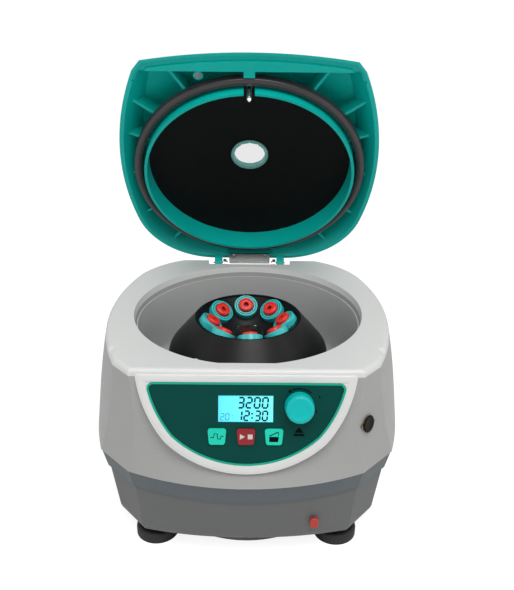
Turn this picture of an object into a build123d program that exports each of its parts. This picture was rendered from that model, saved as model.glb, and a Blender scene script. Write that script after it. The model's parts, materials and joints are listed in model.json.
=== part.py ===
from build123d import *
import os
from math import atan2, cos, degrees, hypot, radians, sin, tan

# Bench centrifuge for blood tubes, with its lid open. Millimetres, +Z up, front towards -Y.
# The origin is on the bench, under the middle of the whole object's box.
# Most places are given from the rotor's axis and from the deck, the top face of the housing:
# x to the right, y to the back, and heights below the deck are negative.

os.makedirs("parts", exist_ok=True)

# Housing
deck_height = 200.0
foot_height = 15.0
rotor_y = 1.155
wall = 3.0
deck_wall = 3.5
parting_drop = 105.0
middle_drop = 45.0
deck_round = 5.0
bowl_radius = 116.5
front = bowl_radius + 14.0
side = bowl_radius + 28.0
rear = bowl_radius + 26.5
deck_edge = [
    (0, -front), (side - 35.5, 1 - front), (side - 20, 20.5 - front),
    (side, 15), (side - 14.5, rear - 55), (80, rear),
]
middle_edge = [
    (0, -front - 10), (side - 41, -front - 6.5), (side - 14.8, 16.9 - front),
    (side + 9.5, 6), (side - 5, rear - 50), (85, rear + 10),
]
parting_edge = [
    (0, -front - 35.5), (side - 32.5, -front - 10), (side - 0.5, 24.5 - front),
    (side + 15.5, 0), (side + 0.5, rear - 46), (88, rear + 16),
]
scoop_radius = 13.0
scoop_place = (side - 11.5, 38.5 - front, 10.0)
post_radius = 4.5
post_places = [(s * (side - x), y) for x, y in ((34.5, 58.5 - front), (52.5, rear - 39)) for s in (1, -1)]

# Lower housing
band_top_inset = 0.8
band_drop = 126.0
band_inset = 6.0
skirt_inset = 8.0
skirt_edge = [
    (0, -front - 17.5), (side - 44.5, -front - 9.5), (side - 18.5, 22.5 - front),
    (side - 5.5, 0), (side - 16.5, rear - 55), (82, rear + 3),
]
floor_round = 17.0
floor_wall = 3.0
vent_radius = 98.0
vent_y = -34.0
vent_height = 11.0
vent_slots = 60
foot_radius = 21.5
foot_places = [(s * (side - 53.5), y) for y in (19 - front, rear - 39) for s in (1, -1)]
foot_boss_radius = 8.0

# Bowl
opening_radius = bowl_radius + 3.5
opening_chord = bowl_radius + 0.5
collar_drop = 11.4
collar_taper = 12.0
bowl_wall = 1.5
bowl_drop = 90.0
bowl_round = 15.0
flange_width = 6.0
cuff_radius = 13.0

# Rotor
rim_radius = 56.4
rim_drop = 7.9
cone_radius = 81.0
cone_drop = 37.2
body_radius = 85.5
body_drop = 47.0
skirt_radius = 88.0
skirt_drop = 78.0
rotor_turn = 4.0
tube_count = 8
tube_tilt = 38.0
tube_pitch = 42.3
tube_seat_drop = 19.4
nut_radius = 18.5
nut_height = 10.0
hub_radius = 17.0
shaft_radius = 5.0

# Tubes and their sleeves, along each tube's own axis, from the rotor's dish
tube_radius = 6.5
tube_wall = 1.0
tube_reach = 54.5
tube_play = 0.3
collar_radius = 13.0
collar_height = 8.0
cap_radius = 8.2
cap_proud = 3.5
cap_height = 10.4
cap_play = 0.7
dimple_radius = 2.6
dimple_depth = 5.0
sleeve_wall = 1.5
bore_play = 0.2
running = 0.06

# Control panel, on a slanted shield in front of the deck
panel_front = front + 1.0
panel_drop = 3.0
panel_slant = 19.4
shield_half = 101.5
shield_flank = (92.5, 34.0)
shield_shoulder = (74.0, 64.0)
shield_depth = 93.1
shield_body = 20.0
panel_margin = 8.0
panel_round = 6.0
panel_thick = 3.2
border_width = 1.8
border_height = 0.5
glass_size = (50.0, 24.5)
glass_place = (-0.5, -32.2)
glass_thick = 2.4
knob_place = (48.2, -29.1)
knob_radius = 13.6
knob_height = 16.0
knob_lift = 1.5
spindle_radius = 3.0
button_size = (17.3, 15.0)
button_places = [(-26.5, -57.6), (0.0, -57.6), (25.5, -57.6)]
button_names = ["pulse_button", "start_stop_button", "lid_button"]
button_proud = 1.8
button_travel = 1.0
button_play = 0.35
board_depth = 12.0
board_thick = 1.6
board_size = (112.0, 44.0)
board_middle = 42.0

# Lid, given as it lies closed on the deck
lid_open = 62.0
lid_gap = 1.0
lid_height = 42.0
lid_dome = 711.0
lid_crown = 44.0
lid_wall = 3.0
lid_round = 8.0
lid_edge = [
    (0, -front - 24.5), (side - 40.5, -front - 15), (side - 32, -front - 4),
    (side - 6.5, 0), (side - 16, rear - 73), (46, rear - 5),
]
crown_edge = [
    (0, 5.5 - front), (side - 60.5, 12.5 - front), (side - 52.5, 22.5 - front),
    (side - 36.5, 0), (side - 44.5, rear - 83), (38, rear - 33),
]
band_front = front + 3.0
lip_wall = 3.4
lip_groove = 6.6
lip_groove_depth = 3.0
ring_radius = bowl_radius - 2.8
ring_wall = 3.0
ring_drop = 5.5
rib_wall = 3.0
rib_lift = 9.0
rib_angles = [31.0, 51.5, 68.0, 92.0, 118.5, 140.5]
seal_radius = ring_radius + 2.5
seal_width = 9.2
seal_height = 8.5
seal_gap = 0.3
liner_edge = 20.0
liner_middle = 37.0
liner_wall = 1.5
window_radius = 17.0
window_rim = 20.7
hinge_y = rear - 0.5
hinge_drop = 5.8
pin_radius = 3.0
lug_radius = 8.0
lug_middle = 38.0
lug_width = 9.0
well_half = 50.0
well_front = hinge_y - 14.5
well_drop = 16.0

# Latch
latch_pin_y = 3.5 - bowl_radius
latch_pin_radius = 2.4
latch_neck_radius = 1.4
latch_pin_reach = 17.5
latch_pin_top = 24.0
pin_room = 1.6
latch_neck_low = 14.0
latch_neck_high = 11.5
latch_nut_size = 8.0
latch_nut_low = 10.0
latch_nut_high = 15.0
magnet_place = (-50.0, -bowl_radius - 6.5)
magnet_radius = 3.5
magnet_lift = 9.0
hook_pivot = (20.0, -bowl_radius - 8.5)
hook_thick = 1.6
hook_low = 13.55
hook_swing = 20.0
hook_width = 8.0
hook_post = 2.9
solenoid_place = (52.0, -bowl_radius - 2.0)
solenoid_length = 20.0
solenoid_low = 24.0

# Release key, release tab, mains inlet and mains switch
key_drop = 56.0
key_share = 0.3
key_radius = 4.1
tab_place = (66.0, foot_height + 28.0 - deck_height)
tab_stem = 2.0
inlet_x = 45.0
switch_x = -45.0
rear_drop = deck_height - foot_height - 27.0
rocker_tilt = 10.0

# Drive and electronics in the base
motor_radius = 42.0
motor_top_drop = bowl_drop + 22.0
motor_plate_lift = 20.0
motor_plate_radius = 62.0
motor_plate_thick = 3.0
damper_radius = 9.0
damper_ring = 50.0
bearing_radius = 13.0
bearing_width = 8.0
main_board_size = (52.0, 100.0)
main_board_place = (-94.0, 10.0)
main_board_lift = 10.0

base_drop = deck_height - foot_height
axis_line = Axis((0, rotor_y, 0), (0, 0, 1))
upright = Plane((0, rotor_y, deck_height), x_dir=(1, 0, 0), z_dir=(0, -1, 0))


def level(height):
    """Flat plane centred on the rotor's axis, at a height from the deck."""
    return Plane((0, rotor_y, deck_height + height))


def at(x, y, z):
    """Place in the part's frame of a place given from the rotor's axis and the deck."""
    return (x, rotor_y + y, deck_height + z)


def outline(edge, inset=0.0):
    """Face alike left and right: bowed front, cut corners, bowed sides, round rear corners."""
    front, corner, cut, side, rear, back = edge
    with BuildSketch() as face:
        with BuildLine():
            ThreePointArc((-corner[0], corner[1]), front, corner)
            for s in (1, -1):
                Line((s * corner[0], corner[1]), (s * cut[0], cut[1]))
                flank = ThreePointArc((s * cut[0], cut[1]), (s * side[0], side[1]), (s * rear[0], rear[1]))
                TangentArc((s * rear[0], rear[1]), (s * back[0], back[1]), tangent=flank % 1)
            Line(back, (-back[0], back[1]))
        make_face()
        if inset:
            offset(amount=-inset, kind=Kind.INTERSECTION, mode=Mode.REPLACE)
    return face.sketch


hook_room = latch_pin_y - hook_pivot[1] + hook_width / 2 + 0.5
housing_edges = [deck_edge, middle_edge, parting_edge]


def key_point(drop):
    """Point on the housing's right cut corner, between its middle and its parting line."""
    share = (drop - middle_drop) / (parting_drop - middle_drop)
    corner, cut = [
        Vector(*middle_edge[i]) + (Vector(*parting_edge[i]) - Vector(*middle_edge[i])) * share for i in (1, 2)
    ]
    place = corner + (cut - corner) * key_share
    return Vector(place.X, rotor_y + place.Y, deck_height - drop)


# Upper housing, a shell with its deck, the bowl's collar, the hinge well and the control shield

panel_plane = Plane(
    at(0, -panel_front, -panel_drop),
    x_dir=(1, 0, 0),
    z_dir=(0, -cos(radians(panel_slant)), sin(radians(panel_slant))),
)


def shield(margin=0.0):
    """Shield-shaped face of the control panel, set in by a margin, with round top corners."""
    with BuildSketch() as face:
        with BuildLine():
            Line((-shield_half, 0), (shield_half, 0))
            for s in (1, -1):
                ThreePointArc(
                    (s * shield_half, 0),
                    (s * shield_flank[0], -shield_flank[1]),
                    (s * shield_shoulder[0], -shield_shoulder[1]),
                )
            ThreePointArc(
                (-shield_shoulder[0], -shield_shoulder[1]),
                (0, -shield_depth),
                (shield_shoulder[0], -shield_shoulder[1]),
            )
        make_face()
        if margin:
            offset(amount=-margin, kind=Kind.INTERSECTION, mode=Mode.REPLACE)
            fillet(vertices().group_by(Axis.Y)[-1], panel_round)
    return face.sketch


key_down = (key_point(key_drop + 5) - key_point(key_drop - 5)).normalized()
key_along = Vector(
    middle_edge[2][0] - middle_edge[1][0],
    middle_edge[2][1] - middle_edge[1][1],
    0,
).normalized()
key_plane = Plane(key_point(key_drop), x_dir=key_along, z_dir=key_down.cross(key_along))
bush_radius = key_radius + running + 1.2
sensor_angle = -113.8
sensor_plane = Plane(
    at(
        (bowl_radius - 0.3) * cos(radians(sensor_angle)),
        (bowl_radius - 0.3) * sin(radians(sensor_angle)),
        -4.6,
    ),
    x_dir=(0, 0, 1),
    z_dir=(cos(radians(sensor_angle)), sin(radians(sensor_angle)), 0),
)
sensor_radius = 3.4

with BuildPart() as upper_housing:
    for drop, edge in zip((0, middle_drop, parting_drop), housing_edges):
        with BuildSketch(level(-drop)):
            add(outline(edge))
    loft()
    fillet(faces().sort_by(Axis.Z)[-1].edges(), deck_round)
    with BuildSketch(panel_plane):
        add(shield())
    extrude(amount=-shield_body)
    for drop, edge in zip((deck_wall, middle_drop, parting_drop), housing_edges):
        with BuildSketch(level(-drop)):
            add(outline(edge, wall))
    loft(mode=Mode.SUBTRACT)
    with BuildSketch(level(-collar_drop)):
        Circle(opening_radius + wall)
        with Locations(post_places):
            Circle(post_radius)
    extrude(amount=collar_drop - deck_wall / 2)
    with BuildSketch(level(-parting_drop)):
        with Locations(post_places):
            Circle(post_radius)
    extrude(amount=parting_drop - collar_drop)
    with BuildSketch(level(-well_drop - wall)):
        with Locations((0, well_front - wall)):
            Rectangle(2 * (well_half + wall), hinge_y + 1 - well_front + wall, align=(Align.CENTER, Align.MIN))
    extrude(amount=well_drop + wall - deck_wall / 2)
    with BuildSketch(level(0)):
        Circle(opening_radius)
        with Locations((0, -opening_chord)):
            Rectangle(
                2 * opening_radius,
                opening_radius,
                align=(Align.CENTER, Align.MAX),
                mode=Mode.SUBTRACT,
            )
    extrude(amount=-collar_drop, taper=collar_taper, mode=Mode.SUBTRACT)
    with BuildSketch(level(-well_drop)):
        with Locations((0, well_front)):
            Rectangle(2 * well_half, opening_radius, align=(Align.CENTER, Align.MIN))
    extrude(amount=well_drop + deck_round, mode=Mode.SUBTRACT)
    with Locations([at(s * scoop_place[0], scoop_place[1], scoop_place[2]) for s in (1, -1)]):
        Sphere(scoop_radius, mode=Mode.SUBTRACT)
    with BuildSketch(panel_plane):
        add(shield(panel_margin))
    extrude(amount=-panel_thick, mode=Mode.SUBTRACT)
    with BuildSketch(panel_plane):
        add(shield(2 * panel_margin))
        with Locations((0, -board_middle + board_size[1] / 2 + 3)):
            Rectangle(2 * shield_half, shield_half, align=(Align.CENTER, Align.MIN), mode=Mode.SUBTRACT)
    extrude(amount=-shield_body - wall, mode=Mode.SUBTRACT)
    with BuildSketch(level(-hook_low - hook_thick - 1.5)):
        with Locations((hook_pivot[0] + hook_width, latch_pin_y)):
            Rectangle(hook_pivot[0] + 3 * hook_width, hook_room, align=(Align.MAX, Align.MAX))
    extrude(amount=hook_thick + 6, mode=Mode.SUBTRACT)
    with BuildSketch(level(0)):
        with Locations((0, latch_pin_y)):
            Circle(latch_pin_radius + pin_room)
    extrude(amount=-collar_drop, mode=Mode.SUBTRACT)
    with BuildSketch(key_plane.offset(-shield_body)):
        Circle(bush_radius)
    extrude(amount=shield_body, mode=Mode.SUBTRACT)
    with BuildSketch(key_plane.offset(-0.8)):
        SlotOverall(2 * bush_radius + 8, 4.5)
        Circle(bush_radius + 1.4)
    extrude(amount=shield_body, mode=Mode.SUBTRACT)
    with BuildSketch(sensor_plane):
        Circle(sensor_radius)
    extrude(amount=2 * sensor_radius, mode=Mode.SUBTRACT)
upper_housing.part.label = "upper_housing"
export_step(upper_housing.part, "parts/upper_housing.step")

# Lower housing, a tub with a wide band under the parting line and an inset skirt

rear_share = (rear_drop - band_drop) / (base_drop - band_drop)
rear_top = parting_edge[5][1] - skirt_inset
rear_slope = degrees(atan2(rear_top - skirt_edge[5][1], base_drop - band_drop))
rear_plane = Plane(
    at(0, rear_top + rear_share * (skirt_edge[5][1] - rear_top), -rear_drop),
    x_dir=(-1, 0, 0),
    z_dir=(0, cos(radians(rear_slope)), -sin(radians(rear_slope))),
)
inlet_size = (27.4, 19.8)
switch_size = (19.2, 13.0)
tab_share = (-tab_place[1] - band_drop) / (base_drop - band_drop)
tab_top, tab_foot = [
    edge[0][1] + inset + (edge[1][1] - edge[0][1]) * (tab_place[0] / edge[1][0]) ** 2
    for edge, inset in ((parting_edge, skirt_inset), (skirt_edge, 0))
]
tab_front = tab_top + tab_share * (tab_foot - tab_top)
tab_plane = Plane(at(tab_place[0], tab_front, tab_place[1]), x_dir=(1, 0, 0), z_dir=(0, -1, 0))

with BuildPart() as lower_hollow:
    with BuildSketch(level(-parting_drop)):
        add(outline(parting_edge, band_top_inset + wall))
    with BuildSketch(level(-band_drop)):
        add(outline(parting_edge, skirt_inset + wall))
    loft()
    with BuildSketch(level(-band_drop)):
        add(outline(parting_edge, skirt_inset + wall))
    with BuildSketch(level(-base_drop + floor_wall)):
        add(outline(skirt_edge, wall))
    loft()
    fillet(faces().sort_by(Axis.Z)[0].edges(), floor_round - floor_wall)

with BuildPart() as lower_housing:
    with BuildSketch(level(-parting_drop)):
        add(outline(parting_edge, band_top_inset))
    with BuildSketch(level(-band_drop)):
        add(outline(parting_edge, band_inset))
    loft()
    with BuildSketch(level(-band_drop)):
        add(outline(parting_edge, skirt_inset))
    with BuildSketch(level(-base_drop)):
        add(outline(skirt_edge))
    loft()
    fillet(faces().sort_by(Axis.Z)[0].edges(), floor_round)
    with BuildSketch(level(-base_drop - vent_height)):
        with Locations((0, vent_y)):
            Circle(vent_radius)
    extrude(amount=vent_height + floor_wall / 2)
    with BuildSketch(level(-base_drop - 1)):
        with Locations(foot_places):
            Circle(foot_boss_radius)
    extrude(amount=floor_round)
    add(lower_hollow.part, mode=Mode.SUBTRACT)
    with BuildSketch(level(-base_drop - vent_height + floor_wall)):
        with Locations((0, vent_y)):
            Circle(vent_radius - wall)
    extrude(amount=vent_height, mode=Mode.SUBTRACT)
    with BuildSketch(level(-base_drop - vent_height + floor_wall)):
        with Locations((0, vent_y)):
            with PolarLocations(vent_radius, vent_slots):
                Rectangle(3 * wall, vent_radius / vent_slots * 3)
    extrude(amount=vent_height - floor_wall - 1, mode=Mode.SUBTRACT)
    with BuildSketch(level(-base_drop + floor_wall / 2)):
        with Locations(post_places):
            Circle(post_radius)
    extrude(amount=base_drop - floor_wall / 2 - parting_drop)
    for i, j in ((-1, -1), (1, -1), (-1, 1), (1, 1)):
        post_x = main_board_place[0] + i * (main_board_size[0] / 2 - 4)
        post_y = main_board_place[1] + j * (main_board_size[1] / 2 - 4)
        sunk = vent_height if hypot(post_x, post_y - vent_y) < vent_radius else 0
        with BuildSketch(level(-base_drop + floor_wall / 2 - sunk)):
            with Locations((post_x, post_y)):
                Circle(3)
        extrude(amount=main_board_lift - floor_wall / 2 + sunk)
    with BuildSketch(level(-base_drop - vent_height + floor_wall / 2)):
        with PolarLocations(damper_ring, 3, start_angle=30):
            Circle(damper_radius)
    extrude(amount=vent_height + floor_wall / 2 + 2)
    with BuildSketch(rear_plane.offset(5)):
        with Locations((-inlet_x, 0)):
            Rectangle(*inlet_size)
        with Locations((-switch_x, 0)):
            Rectangle(*switch_size)
    extrude(amount=-20, mode=Mode.SUBTRACT)
    with BuildSketch(tab_plane.offset(20)):
        Circle(tab_stem + 0.3)
    extrude(amount=-40, mode=Mode.SUBTRACT)
    with BuildSketch(level(-base_drop - 2)):
        with Locations(foot_places):
            Circle(1.7)
    extrude(amount=foot_boss_radius, mode=Mode.SUBTRACT)
lower_housing.part.label = "lower_housing"
export_step(lower_housing.part, "parts/lower_housing.step")

# Rubber feet with their screws

with BuildPart() as feet:
    with BuildSketch(Plane.XY):
        with Locations([(x, rotor_y + y) for x, y in foot_places]):
            Circle(foot_radius)
    extrude(amount=foot_height - 4)
    fillet(edges().group_by(Axis.Z)[-1], 4)
    with BuildSketch(Plane.XY.offset(foot_height - 5)):
        with Locations([(x, rotor_y + y) for x, y in foot_places]):
            Circle(foot_boss_radius)
    extrude(amount=4)
    with BuildSketch(Plane.XY):
        with Locations([(x, rotor_y + y) for x, y in foot_places]):
            Circle(5)
    extrude(amount=6, mode=Mode.SUBTRACT)
    with BuildSketch(Plane.XY):
        with Locations([(x, rotor_y + y) for x, y in foot_places]):
            Circle(2)
    extrude(amount=foot_height, mode=Mode.SUBTRACT)
feet.part.label = "feet"
export_step(feet.part, "parts/feet.step")

with BuildPart() as foot_screws:
    with BuildSketch(Plane.XY.offset(3)):
        with Locations([(x, rotor_y + y) for x, y in foot_places]):
            Circle(4.5)
    extrude(amount=3)
    with BuildSketch(Plane.XY.offset(3)):
        with Locations([(x, rotor_y + y) for x, y in foot_places]):
            Rectangle(6, 1.2)
            Rectangle(1.2, 6)
    extrude(amount=1.5, mode=Mode.SUBTRACT)
    with BuildSketch(Plane.XY.offset(6)):
        with Locations([(x, rotor_y + y) for x, y in foot_places]):
            Circle(1.6)
    extrude(amount=foot_height - 2)
foot_screws.part.label = "foot_screws"
export_step(foot_screws.part, "parts/foot_screws.step")

# Bowl that the rotor turns in, and the rubber cuff round the shaft

with BuildPart() as rotor_bowl:
    with BuildSketch(upright):
        with BuildLine():
            Polyline(
                (cuff_radius, -bowl_drop + 6),
                (cuff_radius + 12, -bowl_drop + 6),
                (cuff_radius + 22, -bowl_drop),
                (bowl_radius - bowl_round, -bowl_drop),
            )
            RadiusArc(
                (bowl_radius - bowl_round, -bowl_drop),
                (bowl_radius, -bowl_drop + bowl_round),
                -bowl_round,
            )
            Polyline(
                (bowl_radius, -bowl_drop + bowl_round),
                (bowl_radius, -collar_drop),
                (bowl_radius + flange_width, -collar_drop),
                (bowl_radius + flange_width, -collar_drop - bowl_wall),
                (bowl_radius + bowl_wall, -collar_drop - bowl_wall),
                (bowl_radius + bowl_wall, -bowl_drop + bowl_round),
            )
            RadiusArc(
                (bowl_radius + bowl_wall, -bowl_drop + bowl_round),
                (bowl_radius - bowl_round, -bowl_drop - bowl_wall),
                bowl_round + bowl_wall,
            )
            Polyline(
                (bowl_radius - bowl_round, -bowl_drop - bowl_wall),
                (cuff_radius + 22, -bowl_drop - bowl_wall),
                (cuff_radius + 12, -bowl_drop + 6 - bowl_wall),
                (cuff_radius, -bowl_drop + 6 - bowl_wall),
                (cuff_radius, -bowl_drop + 6),
            )
        make_face()
    revolve(axis=axis_line)
    with BuildSketch(level(-hook_low - hook_thick - 1.5)):
        with Locations((hook_pivot[0] + hook_width, latch_pin_y)):
            Rectangle(hook_pivot[0] + 3 * hook_width, hook_room, align=(Align.MAX, Align.MAX))
    extrude(amount=hook_thick + 6, mode=Mode.SUBTRACT)
rotor_bowl.part.label = "rotor_bowl"
export_step(rotor_bowl.part, "parts/rotor_bowl.step")

with BuildPart() as shaft_cuff:
    with BuildSketch(upright):
        Polygon(
            (shaft_radius + 2.5, -bowl_drop + 8.5),
            (cuff_radius + 5, -bowl_drop + 8.5),
            (cuff_radius + 5, -bowl_drop + 6),
            (cuff_radius, -bowl_drop + 6),
            (cuff_radius, -bowl_drop + 6 - bowl_wall),
            (cuff_radius + 5, -bowl_drop + 6 - bowl_wall),
            (cuff_radius + 5, -bowl_drop + 2),
            (shaft_radius + 4.5, -bowl_drop + 2),
            (shaft_radius + 4.5, -bowl_drop + 6),
            (shaft_radius + 2.5, -bowl_drop + 6),
            align=None,
        )
    revolve(axis=axis_line)
shaft_cuff.part.label = "shaft_cuff"
export_step(shaft_cuff.part, "parts/shaft_cuff.step")

# Motor on its damped plate, with two bearings for the drive shaft

floor_top = -base_drop + floor_wall + 2
motor_floor = motor_plate_lift - base_drop

with BuildPart() as motor_dampers:
    with BuildSketch(level(floor_top)):
        with PolarLocations(damper_ring, 3, start_angle=30):
            Circle(damper_radius - 1)
    extrude(amount=motor_floor - motor_plate_thick - floor_top)
    fillet(edges().group_by(Axis.Z)[-1], 1.5)
motor_dampers.part.label = "motor_dampers"
export_step(motor_dampers.part, "parts/motor_dampers.step")

with BuildPart() as motor_plate:
    with BuildSketch(level(motor_floor)):
        Circle(motor_plate_radius)
        with PolarLocations(motor_plate_radius, 3, start_angle=90):
            Circle(12, mode=Mode.SUBTRACT)
    extrude(amount=-motor_plate_thick)
motor_plate.part.label = "motor_plate"
export_step(motor_plate.part, "parts/motor_plate.step")

with BuildPart() as motor_case:
    with BuildSketch(upright):
        Polygon(
            (shaft_radius + 1, -motor_top_drop),
            (motor_radius - 4, -motor_top_drop),
            (motor_radius, -motor_top_drop - 4),
            (motor_radius, motor_floor),
            (0, motor_floor),
            (0, motor_floor + 3),
            (bearing_radius, motor_floor + 3),
            (bearing_radius, motor_floor + 3 + bearing_width),
            (motor_radius - wall, motor_floor + 3 + bearing_width),
            (motor_radius - wall, -motor_top_drop - 3 - bearing_width),
            (bearing_radius, -motor_top_drop - 3 - bearing_width),
            (bearing_radius, -motor_top_drop - 3),
            (shaft_radius + 1, -motor_top_drop - 3),
            align=None,
        )
    revolve(axis=axis_line)
    with BuildSketch(level(-motor_top_drop)):
        with PolarLocations(motor_radius * 0.62, 6):
            SlotOverall(12, 4)
    extrude(amount=-wall - bearing_width - 1, mode=Mode.SUBTRACT)
motor_case.part.label = "motor_case"
export_step(motor_case.part, "parts/motor_case.step")

with BuildPart() as motor_bearings:
    with BuildSketch(upright):
        for low in (motor_floor + 3, -motor_top_drop - 3 - bearing_width):
            Polygon(
                (shaft_radius + running, low),
                (bearing_radius, low),
                (bearing_radius, low + bearing_width),
                (shaft_radius + running, low + bearing_width),
                align=None,
            )
    revolve(axis=axis_line)
motor_bearings.part.label = "motor_bearings"
export_step(motor_bearings.part, "parts/motor_bearings.step")

hub_seat = tube_seat_drop + (tube_pitch - nut_radius - 1.5) * tan(radians(tube_tilt))

with BuildPart() as drive_shaft:
    with BuildSketch(upright):
        Polygon(
            (0, motor_floor + 4),
            (shaft_radius, motor_floor + 4),
            (shaft_radius, motor_floor + 4 + bearing_width),
            (motor_radius - wall - 4, motor_floor + 4 + bearing_width),
            (motor_radius - wall - 4, -motor_top_drop - 4 - bearing_width),
            (shaft_radius, -motor_top_drop - 4 - bearing_width),
            (shaft_radius, -hub_seat + 4),
            (0, -hub_seat + 4),
            align=None,
        )
    revolve(axis=axis_line)
drive_shaft.part.label = "drive_shaft"
export_step(drive_shaft.part, "parts/drive_shaft.step")

# Rotor: a cone with a dished top and a ring of slanted bores


def tube_frame(index):
    """Plane square to a tube's axis, where that axis meets the rotor's dish, facing up and inwards."""
    turn = radians(90 + rotor_turn + 360 / tube_count * index)
    lean = radians(tube_tilt)
    return Plane(
        at(tube_pitch * cos(turn), tube_pitch * sin(turn), -tube_seat_drop),
        x_dir=(-sin(turn), cos(turn), 0),
        z_dir=(-sin(lean) * cos(turn), -sin(lean) * sin(turn), cos(lean)),
    )


tube_numbers = range(tube_count)
sleeve_inner = tube_radius + tube_play
sleeve_outer = sleeve_inner + sleeve_wall
bore_radius = sleeve_outer + bore_play
rim_inner = rim_radius - 2.0
dish_rim = tube_seat_drop - (rim_inner - tube_pitch) * tan(radians(tube_tilt))

with BuildPart() as rotor:
    with BuildSketch(upright):
        with BuildLine():
            Polyline(
                (shaft_radius, -hub_seat),
                (nut_radius + 1.5, -hub_seat),
                (rim_inner, -dish_rim),
                (rim_inner, -rim_drop),
                (rim_radius, -rim_drop),
                (cone_radius, -cone_drop),
            )
            TangentArc(
                (cone_radius, -cone_drop),
                (body_radius, -body_drop),
                tangent=(cone_radius - rim_radius, rim_drop - cone_drop),
            )
            Polyline(
                (body_radius, -body_drop),
                (skirt_radius, -skirt_drop),
                (skirt_radius - 15, -skirt_drop),
                (skirt_radius - 37, -skirt_drop + 28),
                (hub_radius, -skirt_drop + 28),
                (hub_radius, -skirt_drop + 5),
                (shaft_radius, -skirt_drop + 5),
                (shaft_radius, -hub_seat),
            )
        make_face()
    revolve(axis=axis_line)
    for index in tube_numbers:
        with Locations(tube_frame(index)):
            with Locations((0, 0, collar_height)):
                Cylinder(
                    bore_radius,
                    tube_reach + collar_height,
                    align=(Align.CENTER, Align.CENTER, Align.MAX),
                    mode=Mode.SUBTRACT,
                )
            with Locations((0, 0, -tube_reach)):
                Sphere(bore_radius, mode=Mode.SUBTRACT)
            Cylinder(
                collar_radius + 0.3,
                2 * collar_radius,
                align=(Align.CENTER, Align.CENTER, Align.MIN),
                mode=Mode.SUBTRACT,
            )
rotor.part.label = "rotor"
export_step(rotor.part, "parts/rotor.step")

with BuildPart() as rotor_nut:
    with BuildSketch(level(-hub_seat)):
        Circle(nut_radius)
    extrude(amount=nut_height)
    fillet(edges().group_by(Axis.Z)[-1], 3.5)
    with BuildSketch(level(-hub_seat + nut_height)):
        with PolarLocations(nut_radius, 6):
            Circle(2.2)
    extrude(amount=-nut_height + 2, mode=Mode.SUBTRACT)
    with BuildSketch(level(-hub_seat)):
        Circle(shaft_radius)
    extrude(amount=4, mode=Mode.SUBTRACT)
rotor_nut.part.label = "rotor_nut"
export_step(rotor_nut.part, "parts/rotor_nut.step")

cap_floor = collar_height + cap_proud - cap_height

with BuildPart() as tube_sleeves:
    for index in tube_numbers:
        with Locations(tube_frame(index)):
            Cylinder(collar_radius, collar_height, align=(Align.CENTER, Align.CENTER, Align.MIN))
    chamfer(edges().filter_by(GeomType.CIRCLE), 0.6)
    for index in tube_numbers:
        with Locations(tube_frame(index)):
            Cylinder(sleeve_outer, tube_reach, align=(Align.CENTER, Align.CENTER, Align.MAX))
            with Locations((0, 0, -tube_reach)):
                Sphere(sleeve_outer)
            with Locations((0, 0, collar_height)):
                Cylinder(
                    sleeve_inner,
                    tube_reach + collar_height,
                    align=(Align.CENTER, Align.CENTER, Align.MAX),
                    mode=Mode.SUBTRACT,
                )
                Cylinder(
                    cap_radius + cap_play,
                    collar_height - cap_floor + 0.1,
                    align=(Align.CENTER, Align.CENTER, Align.MAX),
                    mode=Mode.SUBTRACT,
                )
            with Locations((0, 0, -tube_reach)):
                Sphere(sleeve_inner, mode=Mode.SUBTRACT)
        with BuildSketch(tube_frame(index).offset(collar_height)):
            Circle(collar_radius - 1.8)
            Circle(collar_radius - 2.5, mode=Mode.SUBTRACT)
        extrude(amount=-1.2, mode=Mode.SUBTRACT)
tube_sleeves.part.label = "tube_sleeves"
export_step(tube_sleeves.part, "parts/tube_sleeves.step")

for index in tube_numbers:
    with BuildPart() as tube:
        with Locations(tube_frame(index)):
            with Locations((0, 0, cap_floor)):
                Cylinder(tube_radius, tube_reach + cap_floor, align=(Align.CENTER, Align.CENTER, Align.MAX))
            with Locations((0, 0, -tube_reach)):
                Sphere(tube_radius)
            with Locations((0, 0, cap_floor)):
                Cylinder(
                    tube_radius - tube_wall,
                    tube_reach + cap_floor,
                    align=(Align.CENTER, Align.CENTER, Align.MAX),
                    mode=Mode.SUBTRACT,
                )
            with Locations((0, 0, -tube_reach)):
                Sphere(tube_radius - tube_wall, mode=Mode.SUBTRACT)
    tube.part.label = f"tube_{index + 1}"
    export_step(tube.part, f"parts/tube_{index + 1}.step")

    with BuildPart() as stopper:
        with BuildSketch(tube_frame(index).offset(cap_floor)):
            Circle(cap_radius)
        extrude(amount=cap_height)
        chamfer(edges(), 0.7)
        with BuildSketch(tube_frame(index).offset(cap_floor)):
            Circle(tube_radius - tube_wall)
        extrude(amount=-7)
        with BuildSketch(tube_frame(index).offset(cap_floor + cap_height)):
            Circle(dimple_radius)
        extrude(amount=-dimple_depth, mode=Mode.SUBTRACT)
    stopper.part.label = f"stopper_{index + 1}"
    export_step(stopper.part, f"parts/stopper_{index + 1}.step")

# Control panel, display, knob and buttons


def button_face(place, margin=0.0):
    """Button outline, wider at its top than at its foot."""
    half, tall = button_size[0] / 2, button_size[1] / 2
    with BuildSketch() as face:
        with Locations(place):
            Polygon((-half, tall), (half, tall), (half - 1.5, -tall), (1.5 - half, -tall), align=None)
        fillet(face.vertices(), 2.5)
        if margin:
            offset(amount=margin, mode=Mode.REPLACE)
    return face.sketch


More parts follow.
